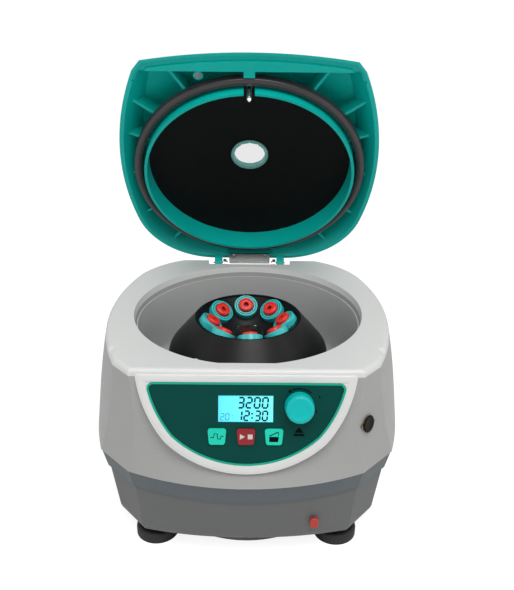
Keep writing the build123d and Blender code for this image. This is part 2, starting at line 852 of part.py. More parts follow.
with BuildPart() as control_panel:
    with BuildSketch(panel_plane):
        add(shield(panel_margin + 0.15))
    extrude(amount=-panel_thick)
    with BuildSketch(panel_plane):
        add(shield(panel_margin + 0.15))
        offset(amount=-border_width, kind=Kind.INTERSECTION, mode=Mode.SUBTRACT)
    extrude(amount=border_height)
    with BuildSketch(panel_plane.offset(border_height)):
        with Locations(glass_place):
            Rectangle(glass_size[0] + 0.2, glass_size[1] + 0.2)
        with Locations(knob_place):
            Circle(spindle_radius + 0.9)
        for place in button_places:
            add(button_face(place, button_play))
    extrude(amount=-panel_thick - border_height, mode=Mode.SUBTRACT)
control_panel.part.label = "control_panel"
export_step(control_panel.part, "parts/control_panel.step")

with BuildPart() as display_glass:
    with BuildSketch(panel_plane.offset(-panel_thick)):
        with Locations(glass_place):
            Rectangle(*glass_size)
    extrude(amount=glass_thick)
    chamfer(edges().group_by(Axis.Z)[-1].filter_by(Axis.X), 0.3)
display_glass.part.label = "display_glass"
export_step(display_glass.part, "parts/display_glass.step")

button_low = panel_thick + 0.3
button_flange = 1.5
stem_low = button_low + button_flange + 2.3
switch_high = stem_low + button_travel + 0.2

with BuildPart() as display_board:
    with BuildSketch(panel_plane.offset(-board_depth)):
        with Locations((0, -board_middle)):
            RectangleRounded(*board_size, 3)
    extrude(amount=-board_thick)
    with BuildSketch(panel_plane.offset(-board_depth)):
        with Locations((glass_place[0], glass_place[1] + 0.5)):
            Rectangle(glass_size[0] + 6, glass_size[1] + 0.5)
    extrude(amount=board_depth - panel_thick - 0.1)
    with BuildSketch(panel_plane.offset(-board_depth)):
        with Locations(button_places):
            Rectangle(6, 6)
    extrude(amount=board_depth - switch_high)
display_board.part.label = "display_board"
export_step(display_board.part, "parts/display_board.step")

with BuildPart() as knob_encoder:
    with BuildSketch(panel_plane.offset(-board_depth)):
        with Locations(knob_place):
            Rectangle(12, 12)
    extrude(amount=board_depth - 5.5)
    with BuildSketch(panel_plane.offset(-board_depth)):
        with Locations(knob_place):
            Circle(spindle_radius + 0.7)
    extrude(amount=board_depth - 0.5)
    with BuildSketch(panel_plane.offset(-board_depth + 2)):
        with Locations(knob_place):
            Circle(spindle_radius + running)
    extrude(amount=board_depth, mode=Mode.SUBTRACT)
knob_encoder.part.label = "knob_encoder"
export_step(knob_encoder.part, "parts/knob_encoder.step")

with BuildPart() as knob:
    with BuildSketch(panel_plane.offset(knob_lift)):
        with Locations(knob_place):
            Circle(knob_radius)
    extrude(amount=knob_height, taper=3)
    fillet(edges().group_by(Axis.Z)[-1], 1.8)
    with BuildSketch(panel_plane.offset(-board_depth + 2.6)):
        with Locations(knob_place):
            Circle(spindle_radius)
    extrude(amount=board_depth)
knob.part.label = "knob"
export_step(knob.part, "parts/knob.step")

for name, place in zip(button_names, button_places):
    with BuildPart() as button:
        with BuildSketch(panel_plane.offset(-button_low)):
            add(button_face(place))
        extrude(amount=button_low + button_proud)
        with BuildSketch(panel_plane.offset(-button_low)):
            add(button_face(place, 1.2))
        extrude(amount=-button_flange)
        with BuildSketch(panel_plane.offset(-button_low - button_flange)):
            with Locations(place):
                Circle(2)
        extrude(amount=button_low + button_flange - stem_low)
    button.part.label = name
    export_step(button.part, f"parts/{name}.step")

# Lid, in its open place


hinge_place = Location(at(0, hinge_y, -hinge_drop))
lid_swing = hinge_place * Location((0, 0, 0), (-lid_open, 0, 0)) * hinge_place.inverse()


def opened(plane):
    """Plane given for the closed lid, carried round the hinge to the open lid."""
    return Plane(lid_swing * plane.location)


def lid_level(height):
    """Plane at a height above the deck when the lid is closed."""
    return opened(level(height))


lid_upright = opened(upright)
lid_axis = Axis(lid_level(0).origin, lid_level(0).z_dir)
lid_reach = lid_height + 6.0
lid_span = 2 * (front + rear)

with BuildPart() as lid_hollow:
    with BuildSketch(lid_level(0)):
        add(outline(lid_edge, lid_wall + 0.7))
    with BuildSketch(lid_level(lid_crown)):
        add(outline(crown_edge, lid_wall + 0.7))
    loft()
    with BuildSketch(lid_level(0)):
        with Locations((0, -band_front)):
            Rectangle(lid_span, lid_span, align=(Align.CENTER, Align.MIN))
    extrude(amount=lid_reach, mode=Mode.INTERSECT)
    with Locations(lid_level(lid_height - lid_dome)):
        Sphere(lid_dome - lid_wall, mode=Mode.INTERSECT)

with BuildPart() as lid_ribs:
    with BuildSketch(lid_level(rib_lift)):
        for angle in rib_angles:
            for s in (1, -1):
                with Locations(Location((0, 0), s * angle - 90)):
                    Rectangle(opening_radius + 90, rib_wall, align=(Align.MIN, Align.CENTER))
        Circle(ring_radius - 1, mode=Mode.SUBTRACT)
    extrude(amount=lid_reach)
    with BuildSketch(lid_level(latch_nut_high)):
        with Locations((0, -band_front - 1)):
            Rectangle(16, band_front / 2, align=(Align.CENTER, Align.MIN))
        Circle(ring_radius - ring_wall, mode=Mode.SUBTRACT)
    extrude(amount=lid_reach)
    with BuildSketch(lid_level(lid_gap)):
        with Locations((0, -band_front - 1)):
            Rectangle(11, band_front - seal_radius - seal_width, align=(Align.CENTER, Align.MIN))
    extrude(amount=lid_reach)
    with BuildSketch(lid_level(magnet_lift)):
        with Locations(magnet_place):
            Circle(magnet_radius + 1.5)
    extrude(amount=lid_reach)
    add(lid_hollow.part, mode=Mode.INTERSECT)

with BuildPart() as lid_shell:
    with BuildSketch(lid_level(lid_gap)):
        add(outline(lid_edge))
    with BuildSketch(lid_level(lid_crown)):
        add(outline(crown_edge))
    loft()
    with Locations(lid_level(lid_height - lid_dome)):
        Sphere(lid_dome, mode=Mode.INTERSECT)
    fillet(faces().filter_by(GeomType.SPHERE).edges(), lid_round)
    add(lid_hollow.part, mode=Mode.SUBTRACT)
    with BuildSketch(lid_level(0)):
        add(outline(lid_edge, lip_wall))
        offset(amount=-lip_groove, kind=Kind.INTERSECTION, mode=Mode.SUBTRACT)
        with Locations((0, -band_front + 12)):
            Rectangle(lid_span, lid_span, align=(Align.CENTER, Align.MAX), mode=Mode.INTERSECT)
    extrude(amount=lip_groove_depth, mode=Mode.SUBTRACT)
    add(lid_ribs.part)
    with BuildSketch(lid_upright):
        Polygon(
            (ring_radius - ring_wall, -ring_drop),
            (ring_radius, -ring_drop),
            (ring_radius, lid_height - 10.4),
            (ring_radius - ring_wall, lid_height - 10.4),
            align=None,
        )
    revolve(axis=lid_axis)
    with BuildSketch(lid_level(0.7)):
        with Locations((0, well_front + 1)):
            Rectangle(54, 6, align=(Align.CENTER, Align.MIN))
    extrude(amount=6)
    for s in (1, -1):
        lug_plane = Plane(at(s * lug_middle - lug_width / 2, 0, 0), x_dir=(0, 1, 0), z_dir=(1, 0, 0))
        with BuildSketch(opened(lug_plane)):
            with Locations((hinge_y, -hinge_drop)):
                Circle(lug_radius)
            Polygon(
                (hinge_y - lug_radius, -hinge_drop),
                (hinge_y - 10, 4),
                (hinge_y - 18, 18),
                (hinge_y - 13, 20),
                (hinge_y + lug_radius, -hinge_drop),
                align=None,
            )
        extrude(amount=lug_width)
        with BuildSketch(opened(lug_plane)):
            with Locations((hinge_y, -hinge_drop)):
                Circle(pin_radius + running)
        extrude(amount=lug_width, mode=Mode.SUBTRACT)
    with BuildSketch(lid_level(-ring_drop)):
        with Locations((0, latch_pin_y)):
            Rectangle(11, 12)
    extrude(amount=ring_drop + latch_nut_high, mode=Mode.SUBTRACT)
    with BuildSketch(lid_level(0)):
        with Locations(magnet_place):
            Circle(magnet_radius)
    extrude(amount=12, mode=Mode.SUBTRACT)
    with BuildSketch(lid_level(0)):
        with Locations((0, latch_pin_y)):
            Circle(latch_pin_radius)
    extrude(amount=latch_pin_top, mode=Mode.SUBTRACT)
    with BuildSketch(lid_level(0)):
        Circle(window_radius + 1.8)
    extrude(amount=lid_reach, mode=Mode.SUBTRACT)
lid_shell.part.label = "lid_shell"
export_step(lid_shell.part, "parts/lid_shell.step")

liner_radius = ring_radius - ring_wall

with BuildPart() as lid_liner:
    with BuildSketch(lid_upright):
        with BuildLine():
            ThreePointArc(
                (window_radius + 1.8, liner_middle),
                (0.6 * liner_radius, liner_middle - 0.36 * (liner_middle - liner_edge)),
                (liner_radius, liner_edge),
            )
            ThreePointArc(
                (window_radius + 1.8, liner_middle - liner_wall),
                (0.6 * liner_radius, liner_middle - liner_wall - 0.36 * (liner_middle - liner_edge)),
                (liner_radius, liner_edge - liner_wall),
            )
            Line((window_radius + 1.8, liner_middle), (window_radius + 1.8, liner_middle - liner_wall))
            Line((liner_radius, liner_edge), (liner_radius, liner_edge - liner_wall))
        make_face()
    revolve(axis=lid_axis)
    with BuildSketch(lid_level(0)):
        with Locations((0, latch_pin_y)):
            Rectangle(11, 12)
    extrude(amount=lid_reach, mode=Mode.SUBTRACT)
lid_liner.part.label = "lid_liner"
export_step(lid_liner.part, "parts/lid_liner.step")

with BuildPart() as lid_seal:
    with BuildSketch(lid_upright):
        with Locations((seal_radius, seal_gap)):
            Rectangle(seal_width, seal_height, align=(Align.MIN, Align.MIN))
        fillet(vertices(), 2.5)
    revolve(axis=lid_axis)
lid_seal.part.label = "lid_seal"
export_step(lid_seal.part, "parts/lid_seal.step")

with BuildPart() as window_ring:
    with BuildSketch(lid_upright):
        Polygon(
            (window_radius, liner_middle - 3),
            (window_rim, liner_middle - 3),
            (window_rim, liner_middle - liner_wall - 0.5),
            (window_radius + 1.8, liner_middle - liner_wall - 0.5),
            (window_radius + 1.8, lid_height - lid_wall),
            (window_radius, lid_height - lid_wall),
            align=None,
        )
    revolve(axis=lid_axis)
    with BuildSketch(lid_level(liner_middle - 3)):
        with PolarLocations(window_radius, 12):
            Circle(1)
    extrude(amount=1.2, mode=Mode.SUBTRACT)
window_ring.part.label = "window_ring"
export_step(window_ring.part, "parts/window_ring.step")

with BuildPart() as window_glass:
    with BuildSketch(lid_level(lid_height - lid_wall)):
        Circle(window_radius + 1.7)
    extrude(amount=lid_wall - 0.4)
window_glass.part.label = "window_glass"
export_step(window_glass.part, "parts/window_glass.step")

pin_upright = opened(Plane(at(0, latch_pin_y, 0), x_dir=(1, 0, 0), z_dir=(0, -1, 0)))

with BuildPart() as latch_pin:
    with BuildSketch(pin_upright):
        Polygon(
            (0, -latch_pin_reach),
            (0.8, -latch_pin_reach),
            (latch_pin_radius, -latch_neck_low - 1),
            (latch_pin_radius, -latch_neck_low),
            (latch_neck_radius, -latch_neck_low),
            (latch_neck_radius, -latch_neck_high),
            (latch_pin_radius, -latch_neck_high),
            (latch_pin_radius, latch_pin_top),
            (0, latch_pin_top),
            align=None,
        )
    revolve(axis=Axis(pin_upright.origin, pin_upright.y_dir))
latch_pin.part.label = "latch_pin"
export_step(latch_pin.part, "parts/latch_pin.step")

with BuildPart() as latch_nut:
    with BuildSketch(lid_level(latch_nut_low)):
        with Locations((0, latch_pin_y)):
            RegularPolygon(latch_nut_size / 2, 6, major_radius=False)
            Circle(latch_pin_radius, mode=Mode.SUBTRACT)
    extrude(amount=latch_nut_high - latch_nut_low)
latch_nut.part.label = "latch_nut"
export_step(latch_nut.part, "parts/latch_nut.step")

with BuildPart() as lid_magnet:
    with BuildSketch(lid_level(magnet_lift)):
        with Locations(magnet_place):
            Circle(magnet_radius)
    extrude(amount=3)
lid_magnet.part.label = "lid_magnet"
export_step(lid_magnet.part, "parts/lid_magnet.step")

with BuildPart() as hinge_plate:
    with BuildSketch(lid_level(-0.8)):
        with Locations((0, well_front + 1)):
            Rectangle(50, 18, align=(Align.CENTER, Align.MIN))
        fillet(vertices(), 2)
    extrude(amount=1.5)
    with BuildSketch(lid_level(-0.8)):
        with Locations((19, well_front + 5), (-19, well_front + 5)):
            Circle(2.6)
    extrude(amount=-1.2)
hinge_plate.part.label = "hinge_plate"
export_step(hinge_plate.part, "parts/hinge_plate.step")

# Hinge bracket in the deck's well, with its two pins

ear_plane = Plane(at(0, 0, 0), x_dir=(0, 1, 0), z_dir=(1, 0, 0))
ear_inner = lug_middle - lug_width / 2 - 5.0
ear_thick = 3.5

with BuildPart() as hinge_bracket:
    with BuildSketch(level(-well_drop)):
        with Locations((0, hinge_y)):
            Rectangle(2 * (ear_inner + ear_thick), 14)
    extrude(amount=2)
    for s in (1, -1):
        middle = s * (ear_inner + ear_thick / 2)
        with BuildSketch(ear_plane.offset(middle - ear_thick / 2)):
            with Locations((hinge_y, -hinge_drop)):
                Circle(6.5)
            with Locations((hinge_y, -well_drop)):
                Rectangle(13, well_drop - hinge_drop, align=(Align.CENTER, Align.MIN))
            with Locations((hinge_y, -hinge_drop)):
                Circle(pin_radius, mode=Mode.SUBTRACT)
        extrude(amount=ear_thick)
hinge_bracket.part.label = "hinge_bracket"
export_step(hinge_bracket.part, "parts/hinge_bracket.step")

with BuildPart() as hinge_pins:
    for s in (1, -1):
        with BuildSketch(ear_plane.offset(s * ear_inner)):
            with Locations((hinge_y, -hinge_drop)):
                Circle(pin_radius)
        extrude(amount=s * (ear_thick + lug_width + 3))
        with BuildSketch(ear_plane.offset(s * ear_inner)):
            with Locations((hinge_y, -hinge_drop)):
                Circle(pin_radius + 1.5)
        extrude(amount=-s * 1.5)
hinge_pins.part.label = "hinge_pins"
export_step(hinge_pins.part, "parts/hinge_pins.step")

# Latch: bracket with a post, swinging hook and solenoid

bracket_low = hook_low + hook_thick + 2.9

with BuildPart() as latch_bracket:
    with BuildSketch(level(-bracket_low)):
        with Locations((hook_pivot[0] - 6, hook_pivot[1] + 0.5)):
            Rectangle(66, 8)
    extrude(amount=1.6)
    with BuildSketch(level(-bracket_low)):
        with Locations(hook_pivot):
            Circle(hook_post)
    extrude(amount=bracket_low - hook_low + hook_thick + 1.5)
    with BuildSketch(level(-bracket_low)):
        with Locations(hook_pivot):
            Circle(hook_post + 1.1)
    extrude(amount=bracket_low - hook_low - 0.3)
    with BuildSketch(level(-bracket_low)):
        with Locations((hook_pivot[0] - 36, hook_pivot[1] + 0.4), (hook_pivot[0] + 24, hook_pivot[1] + 0.4)):
            Circle(2.2)
    extrude(amount=bracket_low - deck_wall)
latch_bracket.part.label = "latch_bracket"
export_step(latch_bracket.part, "parts/latch_bracket.step")

hook_arm = Vector(-hook_pivot[0], latch_pin_y - hook_pivot[1], 0)
hook_angle = degrees(atan2(hook_arm.Y, hook_arm.X)) + hook_swing

with BuildPart() as latch_hook:
    with BuildSketch(
        Plane(
            at(hook_pivot[0], hook_pivot[1], -hook_low),
            x_dir=(cos(radians(hook_angle)), sin(radians(hook_angle)), 0),
            z_dir=(0, 0, 1),
        )
    ):
        with Locations((hook_arm.length / 2, 0)):
            SlotOverall(hook_arm.length + hook_width, hook_width)
        with Locations((hook_arm.length, 0)):
            Circle(2.0, mode=Mode.SUBTRACT)
            Rectangle(4.0, hook_width, align=(Align.CENTER, Align.MAX), mode=Mode.SUBTRACT)
        Circle(hook_post + running, mode=Mode.SUBTRACT)
    extrude(amount=hook_thick)
latch_hook.part.label = "latch_hook"
export_step(latch_hook.part, "parts/latch_hook.step")

with BuildPart() as latch_solenoid:
    with BuildSketch(level(-solenoid_low)):
        with Locations((solenoid_place[0] + solenoid_length / 2, solenoid_place[1])):
            Rectangle(solenoid_length, 12)
    extrude(amount=13)
    with BuildSketch(Plane(at(*solenoid_place, 6 - solenoid_low), x_dir=(0, 1, 0), z_dir=(-1, 0, 0))):
        Circle(2.6)
    extrude(amount=4)
latch_solenoid.part.label = "latch_solenoid"
export_step(latch_solenoid.part, "parts/latch_solenoid.step")

with BuildPart() as lid_sensor:
    with BuildSketch(sensor_plane):
        Circle(sensor_radius)
    extrude(amount=2 * sensor_radius)
    fillet(edges().group_by(Axis.Y)[-1], 1)
lid_sensor.part.label = "lid_sensor"
export_step(lid_sensor.part, "parts/lid_sensor.step")

# Emergency release key in its bush, and the release tab in the base

with BuildPart() as key_bush:
    with BuildSketch(key_plane.offset(-0.8)):
        Circle(bush_radius + 1.4)
        with Locations((0, 0)):
            SlotOverall(2 * bush_radius + 8, 4.5)
        Circle(key_radius + running, mode=Mode.SUBTRACT)
    extrude(amount=2.2)
    with BuildSketch(key_plane.offset(-0.8)):
        Circle(bush_radius)
        Circle(key_radius + running, mode=Mode.SUBTRACT)
    extrude(amount=-12)
key_bush.part.label = "key_bush"
export_step(key_bush.part, "parts/key_bush.step")

with BuildPart() as release_key:
    with BuildSketch(key_plane.offset(0.9)):
        Circle(key_radius)
    extrude(amount=-15)
    with BuildSketch(key_plane.offset(0.9)):
        Rectangle(5.6, 1.3)
    extrude(amount=-5, mode=Mode.SUBTRACT)
release_key.part.label = "release_key"
export_step(release_key.part, "parts/release_key.step")

with BuildPart() as release_tab:
    with BuildSketch(tab_plane.offset(2)):
        Circle(tab_stem)
    extrude(amount=-28)
    with BuildSketch(tab_plane.offset(2)):
        RectangleRounded(8, 11, 2)
    extrude(amount=3.5)
    fillet(edges().group_by(Axis.Y)[0], 1)
release_tab.part.label = "release_tab"
export_step(release_tab.part, "parts/release_tab.step")

# Mains inlet and mains switch in the back of the base

inlet_plane = rear_plane.shift_origin(rear_plane.origin + rear_plane.x_dir * -inlet_x)
switch_plane = rear_plane.shift_origin(rear_plane.origin + rear_plane.x_dir * -switch_x)

with BuildPart() as mains_inlet:
    with BuildSketch(inlet_plane):
        RectangleRounded(31, 24, 2)
    extrude(amount=2)
    with BuildSketch(inlet_plane):
        Rectangle(*inlet_size)
    extrude(amount=-18)
    with BuildSketch(inlet_plane.offset(2)):
        RectangleRounded(24, 16.4, 3)
    extrude(amount=-16, mode=Mode.SUBTRACT)
    with BuildSketch(inlet_plane.offset(-14)):
        with Locations((-7, -2), (0, 2.5), (7, -2)):
            Rectangle(2, 4)
    extrude(amount=8)
mains_inlet.part.label = "mains_inlet"
export_step(mains_inlet.part, "parts/mains_inlet.step")

with BuildPart() as switch_frame:
    with BuildSketch(switch_plane):
        RectangleRounded(21.5, 15.4, 1.5)
    extrude(amount=2)
    with BuildSketch(switch_plane):
        Rectangle(*switch_size)
    extrude(amount=-14)
    with BuildSketch(switch_plane.offset(2)):
        Rectangle(switch_size[0] - 2.4, switch_size[1] - 2.4)
    extrude(amount=-13, mode=Mode.SUBTRACT)
switch_frame.part.label = "switch_frame"
export_step(switch_frame.part, "parts/switch_frame.step")

rocker_half = switch_size[0] / 2 - 1.2 - 0.9
rocker_plane = Plane(
    switch_plane.origin + switch_plane.z_dir * -2,
    x_dir=switch_plane.x_dir.rotate(Axis((0, 0, 0), switch_plane.y_dir), rocker_tilt),
    z_dir=switch_plane.z_dir.rotate(Axis((0, 0, 0), switch_plane.y_dir), rocker_tilt),
)
rocker_side = Plane(rocker_plane.origin, x_dir=rocker_plane.x_dir, z_dir=-rocker_plane.y_dir)

with BuildPart() as mains_rocker:
    with BuildSketch(rocker_side.offset(-(switch_size[1] - 3.4) / 2)):
        Polygon(
            (-rocker_half, 4.2),
            (0, 2.6),
            (rocker_half, 4.2),
            (rocker_half - 1.5, -3),
            (0, -6),
            (1.5 - rocker_half, -3),
            align=None,
        )
    extrude(amount=switch_size[1] - 3.4)
mains_rocker.part.label = "mains_rocker"
export_step(mains_rocker.part, "parts/mains_rocker.step")

# Main board on its posts in the base

with BuildPart() as main_board:
    with BuildSketch(level(-base_drop + main_board_lift)):
        with Locations(main_board_place):
            Rectangle(*main_board_size)
    extrude(amount=board_thick)
    with BuildSketch(level(-base_drop + main_board_lift + board_thick)):
        with Locations((main_board_place[0], main_board_place[1] + 25)):
            Rectangle(30, 26)
        with Locations((main_board_place[0] - 8, main_board_place[1] - 22)):
            Circle(8)
    extrude(amount=22)
    with BuildSketch(level(-base_drop + main_board_lift + board_thick)):
        with Locations((main_board_place[0] + 12, main_board_place[1] - 20)):
            Rectangle(14, 28)
    extrude(amount=12)
main_board.part.label = "main_board"
export_step(main_board.part, "parts/main_board.step")
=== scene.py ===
import json
from math import cos, pi, radians, sin

import bpy
import numpy as np
from bpy.props import FloatProperty, FloatVectorProperty, IntProperty, PointerProperty
from mathutils import Matrix


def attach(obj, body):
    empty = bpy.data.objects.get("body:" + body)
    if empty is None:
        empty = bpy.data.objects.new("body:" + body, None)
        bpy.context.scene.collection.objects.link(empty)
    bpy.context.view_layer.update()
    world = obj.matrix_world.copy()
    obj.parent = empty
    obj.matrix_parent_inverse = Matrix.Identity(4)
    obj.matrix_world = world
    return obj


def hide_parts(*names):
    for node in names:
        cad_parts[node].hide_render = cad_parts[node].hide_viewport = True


bl_info = {
    "name": "Bench centrifuge",
    "version": (1, 0, 0),
    "blender": (4, 5, 0),
    "location": "View3D > Sidebar > Centrifuge",
    "description": (
        "Finishes and fine pieces of a bench centrifuge for blood tubes, over its packed model"
    ),
    "category": "Object",
}

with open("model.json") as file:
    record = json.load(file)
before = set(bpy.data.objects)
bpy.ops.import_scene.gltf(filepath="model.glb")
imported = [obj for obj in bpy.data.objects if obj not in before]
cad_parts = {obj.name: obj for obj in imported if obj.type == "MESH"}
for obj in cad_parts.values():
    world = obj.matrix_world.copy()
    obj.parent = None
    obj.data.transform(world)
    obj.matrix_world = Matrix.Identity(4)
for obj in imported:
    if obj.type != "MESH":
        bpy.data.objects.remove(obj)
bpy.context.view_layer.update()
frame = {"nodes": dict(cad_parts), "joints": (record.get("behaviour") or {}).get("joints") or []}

# Places are in millimetres from the rotor's axis and the deck, as in the part's own source

MM = 0.001
joints = {joint["name"]: joint for joint in frame["joints"]}
AXIS_Y = joints["rotor_spin"]["pos_m"][1] / MM
DECK = 200.0
DECK_EDGE = 6.5
BAND_DROP = 126.2
PANEL_SLANT = radians(19.4)
PANEL_TOP = np.array([0.0, -131.5, -3.0])
PANEL_UP = np.array([0.0, sin(PANEL_SLANT), cos(PANEL_SLANT)])
PANEL_OUT = np.array([0.0, -cos(PANEL_SLANT), sin(PANEL_SLANT)])
SHIELD_SIDE = (101.5, 0.0), (92.5, -34.0), (74.0, -64.0)
SHIELD_FOOT = -93.1
SHIELD_MIDDLE = np.array([0.0, -36.0])
RIM_DEPTH = 1.6
RIM_DROP = 93.0
KNOB = (48.2, -29.1)
KEYS = ((-26.5, -57.6), (0.0, -57.6), (25.5, -57.6))
KEY_FACE = 1.8
DIGITS_FACE = -0.8
TUBE_REACH = 42.3
TUBE_DROP = 19.4
SEAT_RADIUS = 20.0
SEAT_DROP = 36.8
SEAL_RADIUS = 120.8
LID_OPEN = radians(-joints["lid_hinge"]["range_deg"][0])


def from_deck(place):
    """Millimetres from the rotor's axis and the deck of a place in metres in the shared frame."""
    return np.array(place) / MM - [0.0, AXIS_Y, DECK]


def in_frame(points):
    """Metres in the shared frame of points in millimetres from the rotor's axis and the deck."""
    return (np.asarray(points, float) + np.array([0.0, AXIS_Y, DECK])) * MM


def placer(origin, right, up, out):
    """Maker of points from three distances: an origin plus each of them along its own way."""

    def place(x, y, z):
        x, y, z = np.broadcast_arrays(x, y, z)
        return origin + x[..., None] * right + y[..., None] * up + z[..., None] * out

    return place


HINGE = from_deck(joints["lid_hinge"]["pos_m"])
on_panel = placer(PANEL_TOP, np.array([1.0, 0.0, 0.0]), PANEL_UP, PANEL_OUT)


def lid_opened(points):
    """Points of the closed lid turned about the hinge: y and z turn back by the opening angle."""
    points = np.asarray(points, float) - HINGE
    y = points[..., 1] * cos(LID_OPEN) + points[..., 2] * sin(LID_OPEN)
    z = -points[..., 1] * sin(LID_OPEN) + points[..., 2] * cos(LID_OPEN)
    return np.stack([points[..., 0], y, z], -1) + HINGE


# Meshes


def grid_faces(rows, columns, close_rows=False, close_columns=False):
    """Four-cornered faces of a grid of points, each between two rows and two columns."""
    i = np.arange(rows if close_rows else rows - 1)[:, None]
    j = np.arange(columns if close_columns else columns - 1)[None, :]
    i2, j2 = (i + 1) % rows, (j + 1) % columns
    corners = [i * columns + j, i * columns + j2, i2 * columns + j2, i2 * columns + j]
    return np.stack([np.broadcast_to(c, (i.size, j.size)) for c in corners], -1).reshape(-1, 4)


def put_mesh(name, points, faces, finish, body, slot, sharp=35):
    """One object from points in millimetres and a list of faces, riding on a body."""
    mesh = bpy.data.meshes.new(name)
    corners = in_frame(points).reshape(-1, 3).tolist()
    mesh.from_pydata(corners, [], [list(map(int, face)) for face in faces])
    mesh.validate()
    mesh.shade_smooth()
    mesh.set_sharp_from_angle(angle=radians(sharp))
    mesh.materials.append(finish)
    piece = bpy.data.objects.new(name, mesh)
    bpy.context.scene.collection.objects.link(piece)
    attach(piece, body)
    return piece


def turned(profile, place, steps=96):
    """Closed surface of a profile of radius and height turned about an axis, poles capped."""
    profile = np.asarray(profile, float)
    turn = np.linspace(0, 2 * pi, steps, endpoint=False)[None, :]
    radius, height = profile[:, :1], profile[:, 1:]
    points = place(radius * np.cos(turn), radius * np.sin(turn), height + 0 * turn)
    faces = grid_faces(len(profile), steps, close_columns=True).tolist()
    last = (len(profile) - 1) * steps
    if profile[0, 0] > 0:
        faces.append(list(range(steps))[::-1])
    if profile[-1, 0] > 0:
        faces.append([last + k for k in range(steps)])
    return points.reshape(-1, 3), faces


def turned_ring(profile, place, steps=128):
    """Closed ring of a closed profile of radius and height turned about an axis."""
    profile = np.asarray(profile, float)
    turn = np.linspace(0, 2 * pi, steps, endpoint=False)[None, :]
    radius, height = profile[:, :1], profile[:, 1:]
    points = place(radius * np.cos(turn), radius * np.sin(turn), height + 0 * turn)
    return points.reshape(-1, 3), grid_faces(len(profile), steps, True, True).tolist()


def joined(parts):
    """One set of points and faces from several, each face counted on from the points before it."""
    points, faces, count = [], [], 0
    for part_points, part_faces in parts:
        points.append(np.reshape(part_points, (-1, 3)))
        faces += [[k + count for k in face] for face in part_faces]
        count += len(points[-1])
    return np.concatenate(points), faces


def stroke(path, width, place, low, high):
    """Flat bar along a path: each point steps half the width either way, square to its run."""
    path = np.asarray(path, float)
    run = np.gradient(path, axis=0)
    run /= np.linalg.norm(run, axis=1, keepdims=True)
    side = np.stack([-run[:, 1], run[:, 0]], 1) * width / 2
    corners = [(path - side, low), (path + side, low), (path + side, high), (path - side, high)]
    points = np.stack([place(p[:, 0], p[:, 1], np.full(len(p), w)) for p, w in corners], 1)
    faces = grid_faces(len(path), 4, close_columns=True)[:, ::-1].tolist()
    last = 4 * (len(path) - 1)
    faces += [[0, 1, 2, 3], [last + 3, last + 2, last + 1, last]]
    return points.reshape(-1, 3), faces


def plate(outline, place, low, high):
    """Flat plate with a straight-sided outline, its points in turn at the low and the high face."""
    outline = np.asarray(outline, float)
    count = len(outline)
    points = [place(outline[:, 0], outline[:, 1], np.full(count, w)) for w in (low, high)]
    faces = [list(range(count))[::-1], list(range(count, 2 * count))]
    faces += [[k, (k + 1) % count, (k + 1) % count + count, k + count] for k in range(count)]
    return np.concatenate(points), faces


def arc(centre, radius, first, last, count=24):
    """Points on a circle between two angles in degrees."""
    turn = np.radians(np.linspace(first, last, count))
    return np.stack([centre[0] + radius * np.cos(turn), centre[1] + radius * np.sin(turn)], 1)


def arc_through(first, middle, last, count=60):
    """Points on the circle through three points: its centre solves two equal-distance equations."""
    a, b, c = (np.asarray(p, float) for p in (first, middle, last))
    sides = np.array([b - a, c - a])
    centre = np.linalg.solve(sides, [(b @ b - a @ a) / 2, (c @ c - a @ a) / 2])
    turns = np.unwrap([np.arctan2(*(p - centre)[::-1]) for p in (a, b, c)])
    turn = np.interp(np.linspace(0, 2, count), [0, 1, 2], turns)
    radius = np.linalg.norm(a - centre)
    return centre + radius * np.stack([np.cos(turn), np.sin(turn)], 1)


def shield_outline():
    """Closed outline of the control shield: a straight top, two bowed flanks and a bowed foot."""
    (half_top, _), _, (half_foot, low) = SHIELD_SIDE
    right = arc_through(*SHIELD_SIDE)
    foot = arc_through((half_foot, low), (0.0, SHIELD_FOOT), (-half_foot, low), 120)
    left = right[::-1] * [-1, 1]
    top = np.stack([np.linspace(-half_top, half_top, 80), np.zeros(80)], 1)
    return np.concatenate([top[:-1], right[:-1], foot[:-1], left[:-1]])


def inset_ring(outline, centre, inset, count=900):
    """Points at even turns about a centre, on a bowed-out closed outline moved inwards.

    Each turn stops at the first of the outline's edges, every edge moved in along its own normal.
    """
    run = np.roll(outline, -1, 0) - outline
    outward = np.stack([-run[:, 1], run[:, 0]], 1) / np.linalg.norm(run, axis=1, keepdims=True)
    depth = ((outline - centre) * outward).sum(1) - inset
    turn = np.linspace(-pi, pi, count, endpoint=False)
    ahead = np.stack([np.cos(turn), np.sin(turn)], 1)
    slope = ahead @ outward.T
    reach = np.where(slope > 1e-6, depth / np.maximum(slope, 1e-6), np.inf).min(1)
    return centre + reach[:, None] * ahead


SEGMENTS = {
    "a": ((0, 2), (1, 2)), "b": ((1, 2), (1, 1)), "c": ((1, 1), (1, 0)), "d": ((0, 0), (1, 0)),
    "e": ((0, 1), (0, 0)), "f": ((0, 2), (0, 1)), "g": ((0, 1), (1, 1)),
}
DIGITS = {
    "0": "abcdef", "1": "bc", "2": "abged", "3": "abgcd", "4": "fgbc",
    "5": "afgcd", "6": "afgecd", "7": "abc", "8": "abcdefg", "9": "abcdfg",
}


